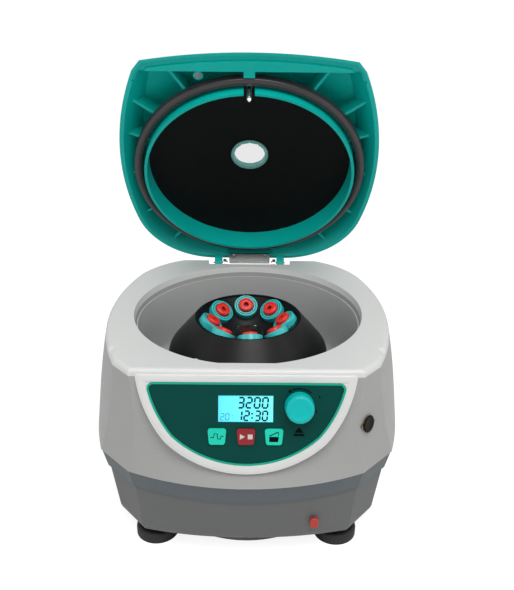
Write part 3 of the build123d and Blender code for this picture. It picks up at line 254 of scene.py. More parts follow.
def digits(text, corner, size, width, place, low, high, lean=0.08):
    """Bars of seven-segment digits, one beside the other from a corner, each bar a short stroke."""
    parts = []
    x = corner[0]
    for sign in text:
        if sign == ":":
            for level in (0.55, 1.45):
                y = corner[1] + level * size / 2
                parts.append(stroke([[x, y], [x + width, y]], width, place, low, high))
            x += 2.2 * width
            continue
        for name in DIGITS[sign]:
            ends = np.array(SEGMENTS[name], float) * [size * 0.5, size / 2]
            gap = (ends[1] - ends[0]) / np.linalg.norm(ends[1] - ends[0]) * width * 0.28
            ends += [gap, -gap]
            ends[:, 0] += x + lean * ends[:, 1]
            ends[:, 1] += corner[1]
            parts.append(stroke(ends, width, place, low, high))
        x += size * 0.78
    return parts


# Finishes


class Signal:
    """A socket whose sums, products, powers and comparisons are Math nodes in its own tree."""

    def __init__(self, nodes, socket):
        self.nodes = nodes
        self.socket = socket

    def math(self, operation, other):
        return self.nodes.node("ShaderNodeMath", {"operation": operation}, {0: self, 1: other})

    def __add__(self, other):
        return self.math("ADD", other)

    def __sub__(self, other):
        return self.math("SUBTRACT", other)

    def __mul__(self, other):
        return self.math("MULTIPLY", other)

    def __pow__(self, other):
        return self.math("POWER", other)

    def __gt__(self, other):
        return self.math("GREATER_THAN", other)

    def between(self, low, high):
        """Rises from 0 to 1 between two values, and holds there."""
        sockets = {"Value": self, "From Min": low, "From Max": high}
        return self.nodes.node("ShaderNodeMapRange", {"clamp": True}, sockets)


class NodeTree:
    """A tree of shader nodes, cleared of what it came with."""

    def __init__(self, tree):
        self.tree = tree
        self.tree.nodes.clear()

    def node(self, kind, settings, inputs, output=0):
        """New node of a kind, its settings made first, then its sockets set or linked."""
        new = self.tree.nodes.new(kind)
        for name, value in settings.items():
            setattr(new, name, value)
        for name, value in inputs.items():
            socket = new.inputs[name]
            if isinstance(value, Signal):
                self.tree.links.new(value.socket, socket)
            elif socket.type == "RGBA" and len(value) == 3:
                socket.default_value = (*value, 1.0)
            else:
                socket.default_value = value
        return Signal(self, new.outputs[output])


class Finish(NodeTree):
    """One material: a Principled shader, the place of each point and what is linked to them."""

    def __init__(self, name, color, **constants):
        self.material = bpy.data.materials.new(name)
        self.material.use_nodes = True
        super().__init__(self.material.node_tree)
        self.shader = self.tree.nodes.new("ShaderNodeBsdfPrincipled")
        self.output = self.tree.nodes.new("ShaderNodeOutputMaterial")
        self.tree.links.new(self.shader.outputs[0], self.output.inputs[0])
        self.shader.inputs["Base Color"].default_value = (*color[:3], 1.0)
        for name, value in constants.items():
            socket = name.replace("_", " ").title().replace("Ior", "IOR")
            self.shader.inputs[socket].default_value = value
        self.place = self.node("ShaderNodeTexCoord", {}, {}, "Object")
        self.x, self.y, self.z = (
            self.node("ShaderNodeSeparateXYZ", {}, {"Vector": self.place}, axis) for axis in "XYZ"
        )

    def noise(self, scale, detail=3.0, rough=0.55, place=None):
        """Even cloudy pattern with a number of lumps to the metre."""
        sockets = {"Vector": place or self.place, "Scale": scale}
        sockets |= {"Detail": detail, "Roughness": rough}
        return self.node("ShaderNodeTexNoise", {}, sockets)

    def mix(self, amount, first, second):
        """Colour between two others."""
        sockets = {0: amount, 6: first, 7: second}
        return self.node("ShaderNodeMix", {"data_type": "RGBA"}, sockets, 2)

    def along(self, direction, origin):
        """Distance of each point from an origin, along a direction."""
        settings, sockets = {"operation": "DOT_PRODUCT"}, {0: self.place, 1: tuple(direction)}
        reach = self.node("ShaderNodeVectorMath", settings, sockets, "Value")
        return reach - float(np.dot(direction, origin))

    def use(self, socket, signal):
        """Link a signal to one of the shader's sockets."""
        self.tree.links.new(signal.socket, self.shader.inputs[socket])

    def bump(self, height, strength, distance):
        """Raise the surface by a height pattern."""
        sockets = {"Strength": strength, "Distance": distance, "Height": height}
        self.use("Normal", self.node("ShaderNodeBump", {}, sockets))


def moulded(name, color, grain=0.00004, rough=0.42, mottle=0.06, **constants):
    """Moulded plastic: fine even grain, slight cloudiness in colour and in gloss."""
    finish = Finish(name, color, **constants)
    cloud = finish.noise(14.0, 4.0)
    dark = tuple(c * (1 - mottle) for c in color[:3])
    light = tuple(min(1.0, c * (1 + mottle)) for c in color[:3])
    finish.use("Base Color", finish.mix(cloud.between(0.3, 0.7), dark, light))
    finish.use("Roughness", finish.noise(60.0) * 0.16 + (rough - 0.08))
    finish.bump(finish.noise(1500.0, 2.0), 0.35, grain)
    return finish


def metal(name, color, rough=0.3, rings=None, streak=900.0, metallic=1.0):
    """Bare metal: fine lines round an axis where it was turned, or a brushed grain along X."""
    finish = Finish(name, color, metallic=metallic)
    if rings is None:
        sockets = {0: finish.place, 1: (0.05, 1, 1)}
        lines = finish.node("ShaderNodeVectorMath", {"operation": "MULTIPLY"}, sockets)
    else:
        y = finish.y - rings[1]
        radius = (finish.x - rings[0]) ** 2 + y * y
        sockets = {"X": radius ** 0.5, "Y": finish.z * 0.7}
        lines = finish.node("ShaderNodeCombineXYZ", {}, sockets)
    line = finish.noise(streak, 3.0, 0.6, lines)
    finish.use("Roughness", line * 0.2 + (rough - 0.1))
    finish.bump(line, 0.18, 0.00005)
    return finish


def printed(name):
    """Dark matt ink."""
    return moulded(name, (0.001, 0.004, 0.004), rough=0.6, mottle=0.1, specular_ior_level=0.05)


def flecked(finish, color, lift):
    """Colour of a paint with lighter flecks in it."""
    fleck = finish.noise(900.0, 2.0).between(0.35, 0.7)
    return finish.mix(fleck * 0.5, tuple(color), tuple(c * lift for c in color))


def dress(finish, *names):
    """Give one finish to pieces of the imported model."""
    for name in names:
        frame["nodes"][name].data.materials[0] = finish.material


# Housing


class HousingLook(bpy.types.PropertyGroup):
    """Colours and grain of the two halves of the housing."""

    deck: FloatVectorProperty(
        name="Deck", description="Colour of the deck and of the shield's rim",
        subtype="COLOR", size=3, min=0, max=1, default=(0.66, 0.665, 0.655),
    )
    skirt: FloatVectorProperty(
        name="Skirt", description="Colour of the sides of the upper housing",
        subtype="COLOR", size=3, min=0, max=1, default=(0.335, 0.335, 0.33),
    )
    band: FloatVectorProperty(
        name="Band", description="Colour of the band under the parting line",
        subtype="COLOR", size=3, min=0, max=1, default=(0.085, 0.105, 0.116),
    )
    base: FloatVectorProperty(
        name="Base", description="Colour of the lower housing",
        subtype="COLOR", size=3, min=0, max=1, default=(0.115, 0.117, 0.117),
    )
    grain: FloatProperty(
        name="Grain", description="Depth of the paint's grain",
        unit="LENGTH", min=0, max=0.001, precision=6, default=0.00005,
    )


class CENTRIFUGE_OT_housing(bpy.types.Operator):
    """Paint the housing, its feet, its vents, the bowl and the metalwork on it"""

    bl_idname = "centrifuge.housing"
    bl_label = "Housing"

    def execute(self, context):
        look = context.scene.housing_look

        shell = Finish("housing_paint", look.deck, coat_weight=0.05, coat_roughness=0.3)
        top = (shell.z - (DECK - DECK_EDGE) * MM).between(-0.0002, 0.0002)
        rim = shell.along(PANEL_OUT, in_frame(PANEL_TOP)) + RIM_DEPTH * MM
        rim = rim.between(-0.0001, 0.0001) * (shell.z > (DECK - RIM_DROP) * MM)
        pale = top.math("MAXIMUM", rim)
        painted = flecked(shell, look.skirt, 1.16)
        shell.use("Base Color", shell.mix(pale, painted, tuple(look.deck)))
        shell.use("Roughness", shell.noise(40.0) * 0.14 + 0.34)
        shell.bump(shell.noise(1300.0, 2.0), 0.4, look.grain)
        dress(shell, "upper_housing")

        tub = Finish("base_paint", look.base)
        band = (tub.z - (DECK - BAND_DROP) * MM).between(-0.0002, 0.0002)
        tub.use("Base Color", tub.mix(band, flecked(tub, look.base, 1.2), tuple(look.band)))
        tub.use("Roughness", tub.noise(40.0) * 0.14 + 0.42)
        tub.bump(tub.noise(1300.0, 2.0), 0.4, look.grain)
        dress(tub, "lower_housing")

        rubber = moulded("foot_rubber", (0.012, 0.012, 0.012), rough=0.6, mottle=0.2)
        dress(rubber, "feet", "shaft_cuff", "motor_dampers")
        middle = (0.0, AXIS_Y * MM)
        spun = metal("spun_bowl", (0.60, 0.61, 0.60), 0.5, middle, streak=700.0, metallic=0.3)
        dress(spun, "rotor_bowl")
        zinc = metal("zinc_sheet", (0.58, 0.58, 0.57), 0.32)
        dress(zinc, "foot_screws", "motor_plate", "latch_bracket", "latch_hook")
        dress(zinc, "hinge_bracket", "hinge_plate")
        steel = metal("ground_steel", (0.5, 0.5, 0.51), 0.2)
        dress(steel, "motor_bearings", "hinge_pins", "drive_shaft", "lid_magnet", "release_key")
        motor = moulded("motor_paint", (0.06, 0.06, 0.065), rough=0.45)
        dress(motor, "motor_case", "latch_solenoid")
        board = moulded("board_lacquer", (0.02, 0.13, 0.06), rough=0.3, mottle=0.25)
        dress(board, "main_board", "display_board")
        black = moulded("black_plastic", (0.014, 0.014, 0.015), rough=0.38, mottle=0.15)
        dress(black, "mains_inlet", "switch_frame", "mains_rocker", "knob_encoder")
        brass = metal("worn_brass", (0.36, 0.25, 0.09), 0.3)
        stain = brass.noise(700.0, 4.0).between(0.4, 0.65)
        brass.use("Base Color", brass.mix(stain, (0.42, 0.30, 0.12), (0.12, 0.08, 0.035)))
        dress(brass, "key_bush")
        dress(moulded("sensor_white", (0.78, 0.78, 0.76), rough=0.35), "lid_sensor")
        dress(moulded("tab_red", (0.42, 0.03, 0.02), rough=0.4, mottle=0.15), "release_tab")
        return {"FINISHED"}


class CENTRIFUGE_OT_shield_rim(bpy.types.Operator):
    """Lay the crowned rim of the control shield over its flat one"""

    bl_idname = "centrifuge.shield_rim"
    bl_label = "Shield rim"

    def execute(self, context):
        look = context.scene.housing_look
        paint = moulded("rim_plastic", tuple(look.deck), grain=look.grain, rough=0.33, mottle=0.02)
        outer = shield_outline()
        insets_and_heights = [
            (8.05, -2.6), (8.05, 0.1), (7.7, 0.32), (6.8, 0.5), (5.2, 0.62), (3.6, 0.62),
            (2.2, 0.5), (1.2, 0.2), (0.5, -0.35), (0.1, -1.1), (-0.2, -2.2), (-0.25, -9.0),
        ]
        points = np.stack([
            on_panel(*inset_ring(outer, SHIELD_MIDDLE, inset).T, height)
            for inset, height in insets_and_heights
        ])
        faces = grid_faces(*points.shape[:2], close_columns=True)[:, ::-1]
        put_mesh("shield_rim", points, faces, paint.material, "base", "housing_shell", 60)
        return {"FINISHED"}


# Control panel


class PanelLook(bpy.types.PropertyGroup):
    """Colours of the control panel and its pieces."""

    face: FloatVectorProperty(
        name="Face", description="Colour of the panel's field",
        subtype="COLOR", size=3, min=0, max=1, default=(0.0, 0.050, 0.041),
    )
    border: FloatVectorProperty(
        name="Border", description="Colour of the line round the panel",
        subtype="COLOR", size=3, min=0, max=1, default=(0.012, 0.37, 0.24),
    )
    display: FloatVectorProperty(
        name="Display", description="Colour of the lit display",
        subtype="COLOR", size=3, min=0, max=1, default=(0.10, 0.74, 0.93),
    )
    knob: FloatVectorProperty(
        name="Knob", description="Colour of the knob",
        subtype="COLOR", size=3, min=0, max=1, default=(0.0, 0.47, 0.45),
    )
    key: FloatVectorProperty(
        name="Keys", description="Colour of the two green keys",
        subtype="COLOR", size=3, min=0, max=1, default=(0.0, 0.60, 0.43),
    )
    stop_key: FloatVectorProperty(
        name="Start key", description="Colour of the middle key",
        subtype="COLOR", size=3, min=0, max=1, default=(0.26, 0.008, 0.012),
    )
    glow: FloatProperty(
        name="Glow", description="Strength of the display's own light",
        min=0, max=5, default=0.25,
    )


class CENTRIFUGE_OT_panel(bpy.types.Operator):
    """Colour the control panel with its border, and print the marks on it"""

    bl_idname = "centrifuge.panel"
    bl_label = "Control panel"

    def execute(self, context):
        look = context.scene.panel_look
        film = Finish("panel_film", look.face, specular_ior_level=0.12)
        raised = film.along(PANEL_OUT, in_frame(PANEL_TOP)) - 0.0001
        cloud = film.noise(30.0, 3.0).between(0.3, 0.7)
        field = film.mix(cloud, tuple(look.face), tuple(c * 1.12 for c in look.face))
        border = film.mix(raised.between(-0.00005, 0.00005), field, tuple(look.border))
        film.use("Base Color", border)
        film.use("Roughness", film.noise(300.0) * 0.1 + 0.33)
        film.bump(film.noise(2200.0, 2.0), 0.25, 0.00003)
        dress(film, "control_panel")

        ink = printed("dark_ink")
        faces = on_panel, 0.0, 0.07
        arc_radius, arc_end = 15.9, 118
        marks = [
            stroke(arc(KNOB, arc_radius, 48, arc_end), 1.1, *faces),
            stroke(arc(KNOB, 16.4, -24, -12, 8), 0.9, *faces),
            plate(arc((KNOB[0] + 18.3, KNOB[1] + 8.4), 0.9, 0, 330, 12), *faces),
            plate([(43.2, -57.0), (53.2, -57.0), (53.2, -55.0), (43.2, -55.0)], *faces),
            plate([(43.9, -54.0), (52.5, -54.0), (48.2, -48.8)], *faces),
        ]
        tip = arc(KNOB, arc_radius, arc_end, arc_end, 1)
        lean = radians(arc_end - 90)
        turned_back = np.array([[cos(lean), sin(lean)], [-sin(lean), cos(lean)]])
        arrow = np.array([(-0.4, 2.1), (-3.3, 0.0), (-0.4, -2.1)])
        marks.append(plate(arrow @ turned_back + tip, *faces))
        put_mesh("knob_marks", *joined(marks), ink.material, "base", "panel_face")
        return {"FINISHED"}


class CENTRIFUGE_OT_display(bpy.types.Operator):
    """Light the display and write plain digits behind its glass"""

    bl_idname = "centrifuge.display"
    bl_label = "Display"

    def execute(self, context):
        look = context.scene.panel_look
        coat = {"coat_weight": 0.3, "coat_roughness": 0.08}
        lit = Finish("display_light", look.display, **coat, emission_strength=look.glow)
        across = (lit.x + 0.027).between(0.0, 0.052)
        paler = tuple(min(1, c * 1.25 + 0.06) for c in look.display)
        tint = lit.mix(across, tuple(look.display), paler)
        lit.use("Base Color", tint)
        lit.use("Emission Color", tint)
        lit.use("Roughness", lit.noise(200.0) * 0.06 + 0.2)
        dress(lit, "display_glass")

        segment = Finish("display_digits", (0.002, 0.012, 0.045), specular_ior_level=0.1)
        segment.use("Roughness", segment.noise(400.0) * 0.1 + 0.3)
        faces = on_panel, DIGITS_FACE, DIGITS_FACE + 0.06
        parts = digits("3200", (-7.4, -31.4), 9.4, 1.6, *faces)
        parts += digits("12:30", (-8.8, -43.0), 8.6, 1.5, *faces)
        faint = digits("20", (-23.6, -42.8), 6.0, 0.6, *faces)
        faint += digits(":", (-13.0, -42.8), 6.0, 0.6, *faces)
        put_mesh("display_digits", *joined(parts), segment.material, "base", "display")
        pale = Finish("display_faint", (0.02, 0.28, 0.4), roughness=0.35)
        pale.use("Roughness", pale.noise(400.0) * 0.1 + 0.3)
        put_mesh("display_small_digits", *joined(faint), pale.material, "base", "display")
        return {"FINISHED"}


class CENTRIFUGE_OT_keys(bpy.types.Operator):
    """Colour the three keys and print their pictures"""

    bl_idname = "centrifuge.keys"
    bl_label = "Keys"

    def execute(self, context):
        look = context.scene.panel_look
        green = moulded("key_green", tuple(look.key), rough=0.4, mottle=0.05)
        red = moulded("key_red", tuple(look.stop_key), rough=0.42, mottle=0.12)
        dress(green, "pulse_button", "lid_button")
        dress(red, "start_stop_button")
        ink = printed("key_ink")
        chalk = moulded("key_chalk", (0.6, 0.55, 0.5), rough=0.5, mottle=0.1)
        pulse, start, lid = np.array(KEYS)
        faces = on_panel, KEY_FACE, KEY_FACE + 0.06

        wave = [
            (-6, -0.9), (-3, -0.9), (-2.4, 2.6), (0.2, 2.6),
            (0.8, -2.2), (3.2, -2.2), (3.8, 0.4), (6, 0.4),
        ]
        mark = stroke(np.array(wave) + pulse, 0.8, *faces)
        put_mesh("pulse_mark", *mark, ink.material, "pulse_button", "button_teal")

        arrow = np.array([(-5.6, -2.6), (-0.9, 0.0), (-5.6, 2.6)])
        square = np.array([(1.6, -2.2), (6.0, -2.2), (6.0, 2.2), (1.6, 2.2)])
        marks = joined([plate(arrow + start, *faces), plate(square + start, *faces)])
        put_mesh("start_stop_mark", *marks, chalk.material, "start_stop_button", "button_red")

        tub = np.array([
            (-4.4, -4.6), (3.6, -4.6), (4.4, -0.4), (4.4, 0.2), (-4.4, 0.2), (-4.4, -0.4),
        ])
        marks = joined([
            plate(tub + lid, *faces),
            stroke(np.array([(-4.2, 0.9), (3.8, 4.6)]) + lid, 0.9, *faces),
            stroke(np.array([(3.9, 4.3), (3.9, 1.2)]) + lid, 0.6, *faces),
        ])
        put_mesh("lid_mark", *marks, ink.material, "lid_button", "button_teal")
        return {"FINISHED"}


class CENTRIFUGE_OT_knob(bpy.types.Operator):
    """Turn the knob's crowned cap over its plain one"""

    bl_idname = "centrifuge.knob"
    bl_label = "Knob"

    def execute(self, context):
        look = context.scene.panel_look
        dull = {"rough": 0.34, "mottle": 0.03, "specular_ior_level": 0.3}
        gloss = moulded("knob_plastic", tuple(look.knob), **dull)
        profile = [
            (0, -9.2), (2.95, -9.2), (2.95, 1.9), (12.0, 1.9), (13.2, 1.55), (13.6, 2.0),
            (13.5, 3.2), (13.1, 6.0), (12.95, 12.0), (12.8, 14.6), (12.4, 16.0), (11.6, 17.0),
            (10.5, 17.45), (9.3, 17.4), (8.4, 17.1), (7.0, 16.85), (4.0, 16.75), (0, 16.7),
        ]

        def place(x, y, z):
            return on_panel(KNOB[0] + x, KNOB[1] + y, z)

        turn = turned(profile, place)
        cap = put_mesh("knob_cap", *turn, gloss.material, "knob", "knob_teal", 50)
        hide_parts("knob")
        return {"FINISHED"}


class CENTRIFUGE_OT_key_head(bpy.types.Operator):
    """Put the black oval head on the release key"""

    bl_idname = "centrifuge.key_head"
    bl_label = "Release key"

    def execute(self, context):
        dull = {"rough": 0.4, "mottle": 0.2, "specular_ior_level": 0.15}
        black = moulded("key_head_black", (0.004, 0.003, 0.002), **dull)
        joint = joints["release_key_turn"]
        out = np.array(joint["axis"])
        right = np.cross([0.0, 0.0, 1.0], out)
        right /= np.linalg.norm(right)
        up = np.cross(out, right)
        lean, half_width, half_height = radians(-12), 7.0, 8.6
        right, up = cos(lean) * right + sin(lean) * up, cos(lean) * up - sin(lean) * right
        place = placer(from_deck(joint["pos_m"]), half_width * right, half_height * up, out)
        shares_and_heights = [
            (0.8, 0.2), (1.0, 1.5), (1.0, 2.2), (0.93, 2.7),
            (0.8, 2.9), (0.72, 2.7), (0.3, 2.6), (0, 2.6),
        ]
        head = turned(shares_and_heights, place, 64)
        put_mesh("key_head", *head, black.material, "release_key", "black_plastic", 50)
        return {"FINISHED"}


# Rotor and tubes


class RotorLook(bpy.types.PropertyGroup):
    """Colours of the rotor and the tubes in it."""

    coat: FloatVectorProperty(
        name="Rotor", description="Colour of the rotor's coating",
        subtype="COLOR", size=3, min=0, max=1, default=(0.006, 0.006, 0.007),
    )
    collar: FloatVectorProperty(
        name="Collars", description="Colour of the sleeves' collars",
        subtype="COLOR", size=3, min=0, max=1, default=(0.035, 0.52, 0.52),
    )
    stopper: FloatVectorProperty(
        name="Stoppers", description="Colour of the tubes' stoppers",
        subtype="COLOR", size=3, min=0, max=1, default=(0.72, 0.022, 0.014),
    )
    first_turn: FloatProperty(
        name="First turn", description="Turn of the rotor's first tube from straight back",
        subtype="ANGLE", default=radians(4.0),
    )
    tilt: FloatProperty(
        name="Tilt", description="Tilt of the tubes from upright",
        subtype="ANGLE", default=radians(38.0),
    )
    count: IntProperty(name="Tubes", description="Number of tubes", min=1, max=8, default=8)


def tube_place(index, look):
    """Maker of points about a tube's axis, from across it twice and along it."""
    turn = pi / 2 + look.first_turn + 2 * pi / look.count * index
    outward = np.array([cos(turn), sin(turn), 0.0])
    across = np.array([-sin(turn), cos(turn), 0.0])
    axis = -sin(look.tilt) * outward + cos(look.tilt) * np.array([0.0, 0.0, 1.0])
    start = TUBE_REACH * outward - [0.0, 0.0, TUBE_DROP]
    return placer(start, across, np.cross(axis, across), axis)


class CENTRIFUGE_OT_rotor(bpy.types.Operator):
    """Coat the rotor and number its places"""

    bl_idname = "centrifuge.rotor"
    bl_label = "Rotor"

    def execute(self, context):
        look = context.scene.rotor_look
        coat = Finish("rotor_coating", look.coat, specular_ior_level=0.22)
        radius = (coat.x ** 2 + (coat.y - AXIS_Y * MM) ** 2) ** 0.5
        ring_place = coat.node("ShaderNodeCombineXYZ", {}, {"X": radius, "Y": coat.z})
        lathe = coat.noise(1400.0, 2.0, 0.5, ring_place)
        worn = coat.noise(35.0, 4.0).between(0.5, 0.75)
        coat.use("Base Color", coat.mix(worn, tuple(look.coat), tuple(c * 1.4 for c in look.coat)))
        coat.use("Roughness", lathe * 0.14 + 0.3)
        coat.bump(lathe, 0.2, 0.00006)
        dress(coat, "rotor")
        nut = moulded("nut_black", (0.012, 0.012, 0.012), rough=0.22, mottle=0.1, coat_weight=0.3)
        dress(nut, "rotor_nut")

        white = moulded("white_paint", (0.62, 0.62, 0.6), rough=0.5, mottle=0.1)
        parts = []
        beyond = 2.4
        for index in range(look.count):
            turn = pi / 2 + look.first_turn + 2 * pi / look.count * (index + 0.5)
            outward = np.array([cos(turn), sin(turn), 0.0])
            across = np.array([sin(turn), -cos(turn), 0.0])
            rise = cos(look.tilt) * outward + np.array([0.0, 0.0, sin(look.tilt)])
            normal = -sin(look.tilt) * outward + np.array([0.0, 0.0, cos(look.tilt)])
            height = beyond * np.tan(look.tilt) - SEAT_DROP
            start = (SEAT_RADIUS + beyond) * outward + [0.0, 0.0, height]
            place = placer(start, across, rise, normal)
            parts += digits(str(index + 1), (-1.6, 0.6), 4.2, 0.7, place, 0.05, 0.14, 0.0)
        put_mesh("place_numbers", *joined(parts), white.material, "rotor", "rotor_black")
        return {"FINISHED"}


class CENTRIFUGE_OT_tubes(bpy.types.Operator):
    """Finish the sleeves, the tubes and their stoppers"""

    bl_idname = "centrifuge.tubes"
    bl_label = "Tubes"

    def execute(self, context):
        look = context.scene.rotor_look
        teal = moulded("sleeve_teal", tuple(look.collar), rough=0.3, mottle=0.06, coat_weight=0.15)
        dress(teal, "tube_sleeves")
        dark = moulded("groove_shade", (0.0, 0.09, 0.09), rough=0.6, mottle=0.1)
        outer_line = [(10.55, 7.0), (11.15, 7.0), (11.15, 7.25), (10.55, 7.25)]
        inner_line = [(8.5, 6.9), (8.85, 6.9), (8.85, 7.6), (8.5, 7.6)]
        places = [tube_place(index, look) for index in range(look.count)]
        rings = [turned_ring(line, at, 64) for at in places for line in (outer_line, inner_line)]
        put_mesh("collar_grooves", *joined(rings), dark.material, "rotor", "sleeve_teal")

        clear = {"roughness": 0.05, "transmission_weight": 0.9, "ior": 1.45}
        glass = Finish("tube_glass", (0.86, 0.93, 0.92), **clear)
        glass.use("Roughness", glass.noise(120.0) * 0.04 + 0.03)
        soft = {"rough": 0.4, "mottle": 0.08, "coat_weight": 0.1}
        rubber = moulded("stopper_rubber", tuple(look.stopper), **soft)
        # Painted shade: the floor of each stopper's hollow is the stopper's red darkened to 12 per
        # cent, for the shade down in the hollow
        pit_painted_shade = tuple(c * 0.12 for c in look.stopper)
        pit = moulded("stopper_pit", pit_painted_shade, rough=0.6, mottle=0.1)
        bung_profile = [
            (0, 6.7), (2.62, 6.7), (2.66, 11.62), (3.1, 11.9), (3.9, 12.02), (5.6, 11.9),
            (7.0, 11.5), (7.75, 10.9), (8.12, 10.0), (8.2, 8.6), (8.2, 2.2), (8.0, 1.45),
            (7.5, 1.14), (5.55, 1.12), (5.55, -5.4), (5.2, -5.85), (0, -5.85),
        ]
        pit_profile = [(2.5, 6.75), (2.5, 6.95), (0, 6.98)]
        for number, place in enumerate(places, 1):
            body = f"tube_{number}"
            dress(glass, body)
            points, faces = turned(bung_profile, place, 72)
            faces = [face[::-1] for face in faces]
            cap = f"stopper_cap_{number}"
            piece = put_mesh(cap, points, faces, rubber.material, body, "stopper_red", 50)
            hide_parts(f"stopper_{number}")
            # A disc of painted shade at the foot of each stopper's hollow
            disc = turned(pit_profile, place, 32)
            put_mesh(f"stopper_pit_{number}", *disc, pit.material, body, "stopper_red")
        return {"FINISHED"}


# Lid


class LidLook(bpy.types.PropertyGroup):
    """Colours of the lid and the pieces in it."""

    shell: FloatVectorProperty(
        name="Shell", description="Colour of the lid's shell",
        subtype="COLOR", size=3, min=0, max=1, default=(0.0, 0.44, 0.385),
    )
    seal: FloatVectorProperty(
        name="Seal", description="Colour of the lid's seal",
        subtype="COLOR", size=3, min=0, max=1, default=(0.035, 0.028, 0.031),
    )
    liner: FloatVectorProperty(
        name="Liner", description="Colour of the lid's liner",
        subtype="COLOR", size=3, min=0, max=1, default=(0.003, 0.003, 0.0033),
    )


class CENTRIFUGE_OT_lid(bpy.types.Operator):
    """Finish the lid's shell, liner, window and latch pin"""

    bl_idname = "centrifuge.lid"
    bl_label = "Lid"

    def execute(self, context):
        look = context.scene.lid_look
        satin = {"rough": 0.4, "mottle": 0.05, "specular_ior_level": 0.25}
        dress(moulded("lid_teal", tuple(look.shell), grain=0.00003, **satin), "lid_shell")
        matt = {"rough": 0.5, "mottle": 0.2, "specular_ior_level": 0.2}
        dress(moulded("liner_black", tuple(look.liner), **matt), "lid_liner")
        dress(metal("pin_chrome", (0.82, 0.82, 0.82), 0.13), "latch_pin", "latch_nut")
        thin = {"transmission_weight": 1.0, "ior": 1.1, "alpha": 0.25}
        clear = Finish("window_clear", (1.0, 1.0, 1.0), **thin)
        clear.use("Roughness", clear.noise(120.0) * 0.03 + 0.02)
        dress(clear, "window_glass")
        tinted = {"roughness": 0.12, "transmission_weight": 0.55, "ior": 1.45}
        rim = Finish("window_rim", (0.35, 0.78, 0.74), **tinted)
        rim.use("Roughness", rim.noise(150.0) * 0.06 + 0.1)
        dress(rim, "window_ring")
        return {"FINISHED"}


class CENTRIFUGE_OT_seal(bpy.types.Operator):
    """Turn the seal's soft section over its plain one"""

    bl_idname = "centrifuge.seal"
    bl_label = "Seal"

    def execute(self, context):
        look = context.scene.lid_look
        soft = {"rough": 0.38, "mottle": 0.15, "coat_weight": 0.12}
        rubber = moulded("seal_rubber", tuple(look.seal), **soft)
        turn = np.linspace(0, pi, 22)
        half_width, foot, rise = 4.4, 3.3, 2.95
        radii = SEAL_RADIUS + half_width * np.cos(turn)
        crown = np.stack([radii, foot - rise * np.sin(turn) ** 0.85], 1)
        groove = [
            (116.45, 5.0), (116.25, 5.3), (116.25, 8.7), (125.3, 8.7), (125.3, 5.3), (125.1, 5.0),
        ]

        def place(x, y, z):
            return lid_opened(np.stack([x, y, z], -1))

        lip = turned_ring(np.concatenate([crown, groove]), place, 160)
        piece = put_mesh("seal_lip", *lip, rubber.material, "lid", "seal_rubber", 60)
        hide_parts("lid_seal")
        return {"FINISHED"}


# Stage


class StageLook(bpy.types.PropertyGroup):
    """Levels of the lamps and the surroundings."""

    key: FloatProperty(
        name="Key lamp", description="Power of the lamp above the front",
        unit="POWER", default=16.0,
    )
    side: FloatProperty(
        name="Side lamps", description="Power of each lamp at the side",
        unit="POWER", default=2.2,
    )
    sky: FloatProperty(
        name="Surroundings", description="Level of the light from all round", default=0.44,
    )


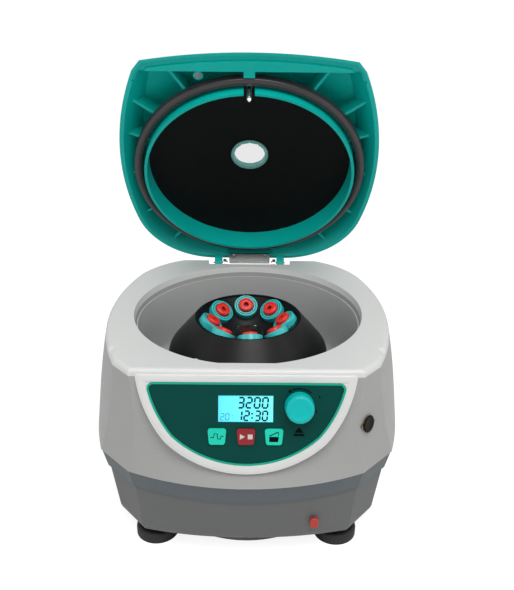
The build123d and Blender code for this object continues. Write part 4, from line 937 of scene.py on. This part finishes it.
class CENTRIFUGE_OT_stage(bpy.types.Operator):
    """Lay the floor, hang the lamps and set the camera"""

    bl_idname = "centrifuge.stage"
    bl_label = "Stage"

    def execute(self, context):
        look = context.scene.stage_look
        scene = context.scene
        scene.view_settings.view_transform = "Standard"

        reach = 6.0
        sheet = bpy.data.meshes.new("floor")
        corners = [(reach * x, reach * y, 0) for x, y in ((-1, -1), (1, -1), (1, 1), (-1, 1))]
        sheet.from_pydata(corners, [], [(0, 1, 2, 3)])
        floor = bpy.data.objects.new("floor", sheet)
        scene.collection.objects.link(floor)
        pale = Finish("floor_pale", (0.9, 0.9, 0.9), roughness=0.9)
        path = pale.node("ShaderNodeLightPath", {}, {}, "Is Camera Ray")
        glow = pale.node("ShaderNodeEmission", {}, {"Color": (1.0, 1.0, 1.0), "Strength": 1.26})
        lit = Signal(pale, pale.shader.outputs[0])
        blend = pale.node("ShaderNodeMixShader", {}, {0: path * 0.7, 1: lit, 2: glow})
        pale.tree.links.new(blend.socket, pale.output.inputs[0])
        sheet.materials.append(pale.material)

        world = bpy.data.worlds.new("surroundings")
        scene.world = world
        world.use_nodes = True
        sky = NodeTree(world.node_tree)
        seen, glossy, through = (
            sky.node("ShaderNodeLightPath", {}, {}, f"Is {ray} Ray")
            for ray in ("Camera", "Glossy", "Transmission")
        )
        white = (seen + through + glossy * 0.35).math("MINIMUM", 1.0)
        level = white * (1.0 - look.sky) + look.sky
        light = {"Color": (1.0, 1.0, 1.0), "Strength": level}
        back = sky.node("ShaderNodeBackground", {}, light)
        sky.tree.links.new(back.socket, sky.tree.nodes.new("ShaderNodeOutputWorld").inputs[0])

        lamps = (
            ("key_lamp", (0.15, -0.75, 1.55), (0.9, 0.9), look.key),
            ("left_lamp", (-1.3, -0.5, 0.7), (0.7, 0.9), look.side),
            ("right_lamp", (1.3, -0.4, 0.8), (0.7, 0.9), look.side),
        )
        target = np.array([0.0, 0.0, 0.22])
        for name, spot, size, power in lamps:
            lamp = bpy.data.lights.new(name, "AREA")
            lamp.shape = "RECTANGLE"
            lamp.size, lamp.size_y = size
            lamp.energy = power
            hung = bpy.data.objects.new(name, lamp)
            scene.collection.objects.link(hung)
            hung.matrix_world = self.facing(spot, target - spot)

        lens = bpy.data.cameras.new("camera")
        lens.lens = 45.80
        lens.sensor_width = 36.0
        lens.clip_start, lens.clip_end = 0.01, 50.0
        camera = bpy.data.objects.new("camera", lens)
        scene.collection.objects.link(camera)
        pitch, yaw, roll = radians(24.138), radians(0.207), radians(-0.547)
        ahead = np.array([sin(yaw) * cos(pitch), cos(yaw) * cos(pitch), -sin(pitch)])
        right = np.array([cos(yaw), -sin(yaw), 0.0])
        up = np.cross(right, ahead)
        across = cos(roll) * right - sin(roll) * up
        upward = sin(roll) * right + cos(roll) * up
        spot = in_frame([6.704, -721.938, 339.891])
        turn = np.stack([across, upward, -ahead, spot], 1)
        camera.matrix_world = Matrix([*turn.tolist(), [0, 0, 0, 1]])
        scene.camera = camera
        return {"FINISHED"}

    @staticmethod
    def facing(spot, aim):
        """Place of a lamp at a spot, shining along an aim."""
        back = -np.asarray(aim, float) / np.linalg.norm(aim)
        right = np.cross([0.0, 0.0, 1.0], back)
        right /= np.linalg.norm(right)
        turn = np.stack([right, np.cross(back, right), back, spot], 1)
        return Matrix([*turn.tolist(), [0, 0, 0, 1]])


# Panel in the sidebar


LOOKS = {
    "housing_look": HousingLook,
    "panel_look": PanelLook,
    "rotor_look": RotorLook,
    "lid_look": LidLook,
    "stage_look": StageLook,
}
STEPS = (
    CENTRIFUGE_OT_stage,
    CENTRIFUGE_OT_housing,
    CENTRIFUGE_OT_shield_rim,
    CENTRIFUGE_OT_panel,
    CENTRIFUGE_OT_display,
    CENTRIFUGE_OT_keys,
    CENTRIFUGE_OT_knob,
    CENTRIFUGE_OT_key_head,
    CENTRIFUGE_OT_rotor,
    CENTRIFUGE_OT_tubes,
    CENTRIFUGE_OT_lid,
    CENTRIFUGE_OT_seal,
)


class CENTRIFUGE_PT_looks(bpy.types.Panel):
    """Sizes and colours of the centrifuge, with a button for each group of pieces"""

    bl_idname = "CENTRIFUGE_PT_looks"
    bl_label = "Bench centrifuge"
    bl_space_type = "VIEW_3D"
    bl_region_type = "UI"
    bl_category = "Centrifuge"

    def draw(self, context):
        for name, look in LOOKS.items():
            box = self.layout.box()
            for field in look.__annotations__:
                box.prop(getattr(context.scene, name), field)
        for step in STEPS:
            self.layout.operator(step.bl_idname)


CLASSES = (*LOOKS.values(), *STEPS, CENTRIFUGE_PT_looks)


def register():
    for item in CLASSES:
        bpy.utils.register_class(item)
    for name, look in LOOKS.items():
        setattr(bpy.types.Scene, name, PointerProperty(type=look))


def unregister():
    for name in LOOKS:
        delattr(bpy.types.Scene, name)
    for item in reversed(CLASSES):
        bpy.utils.unregister_class(item)


def main():
    """Run every step in order."""
    register()
    for step in STEPS:
        area, name = step.bl_idname.split(".")
        getattr(getattr(bpy.ops, area), name)()


if __name__ == "__main__":
    main()
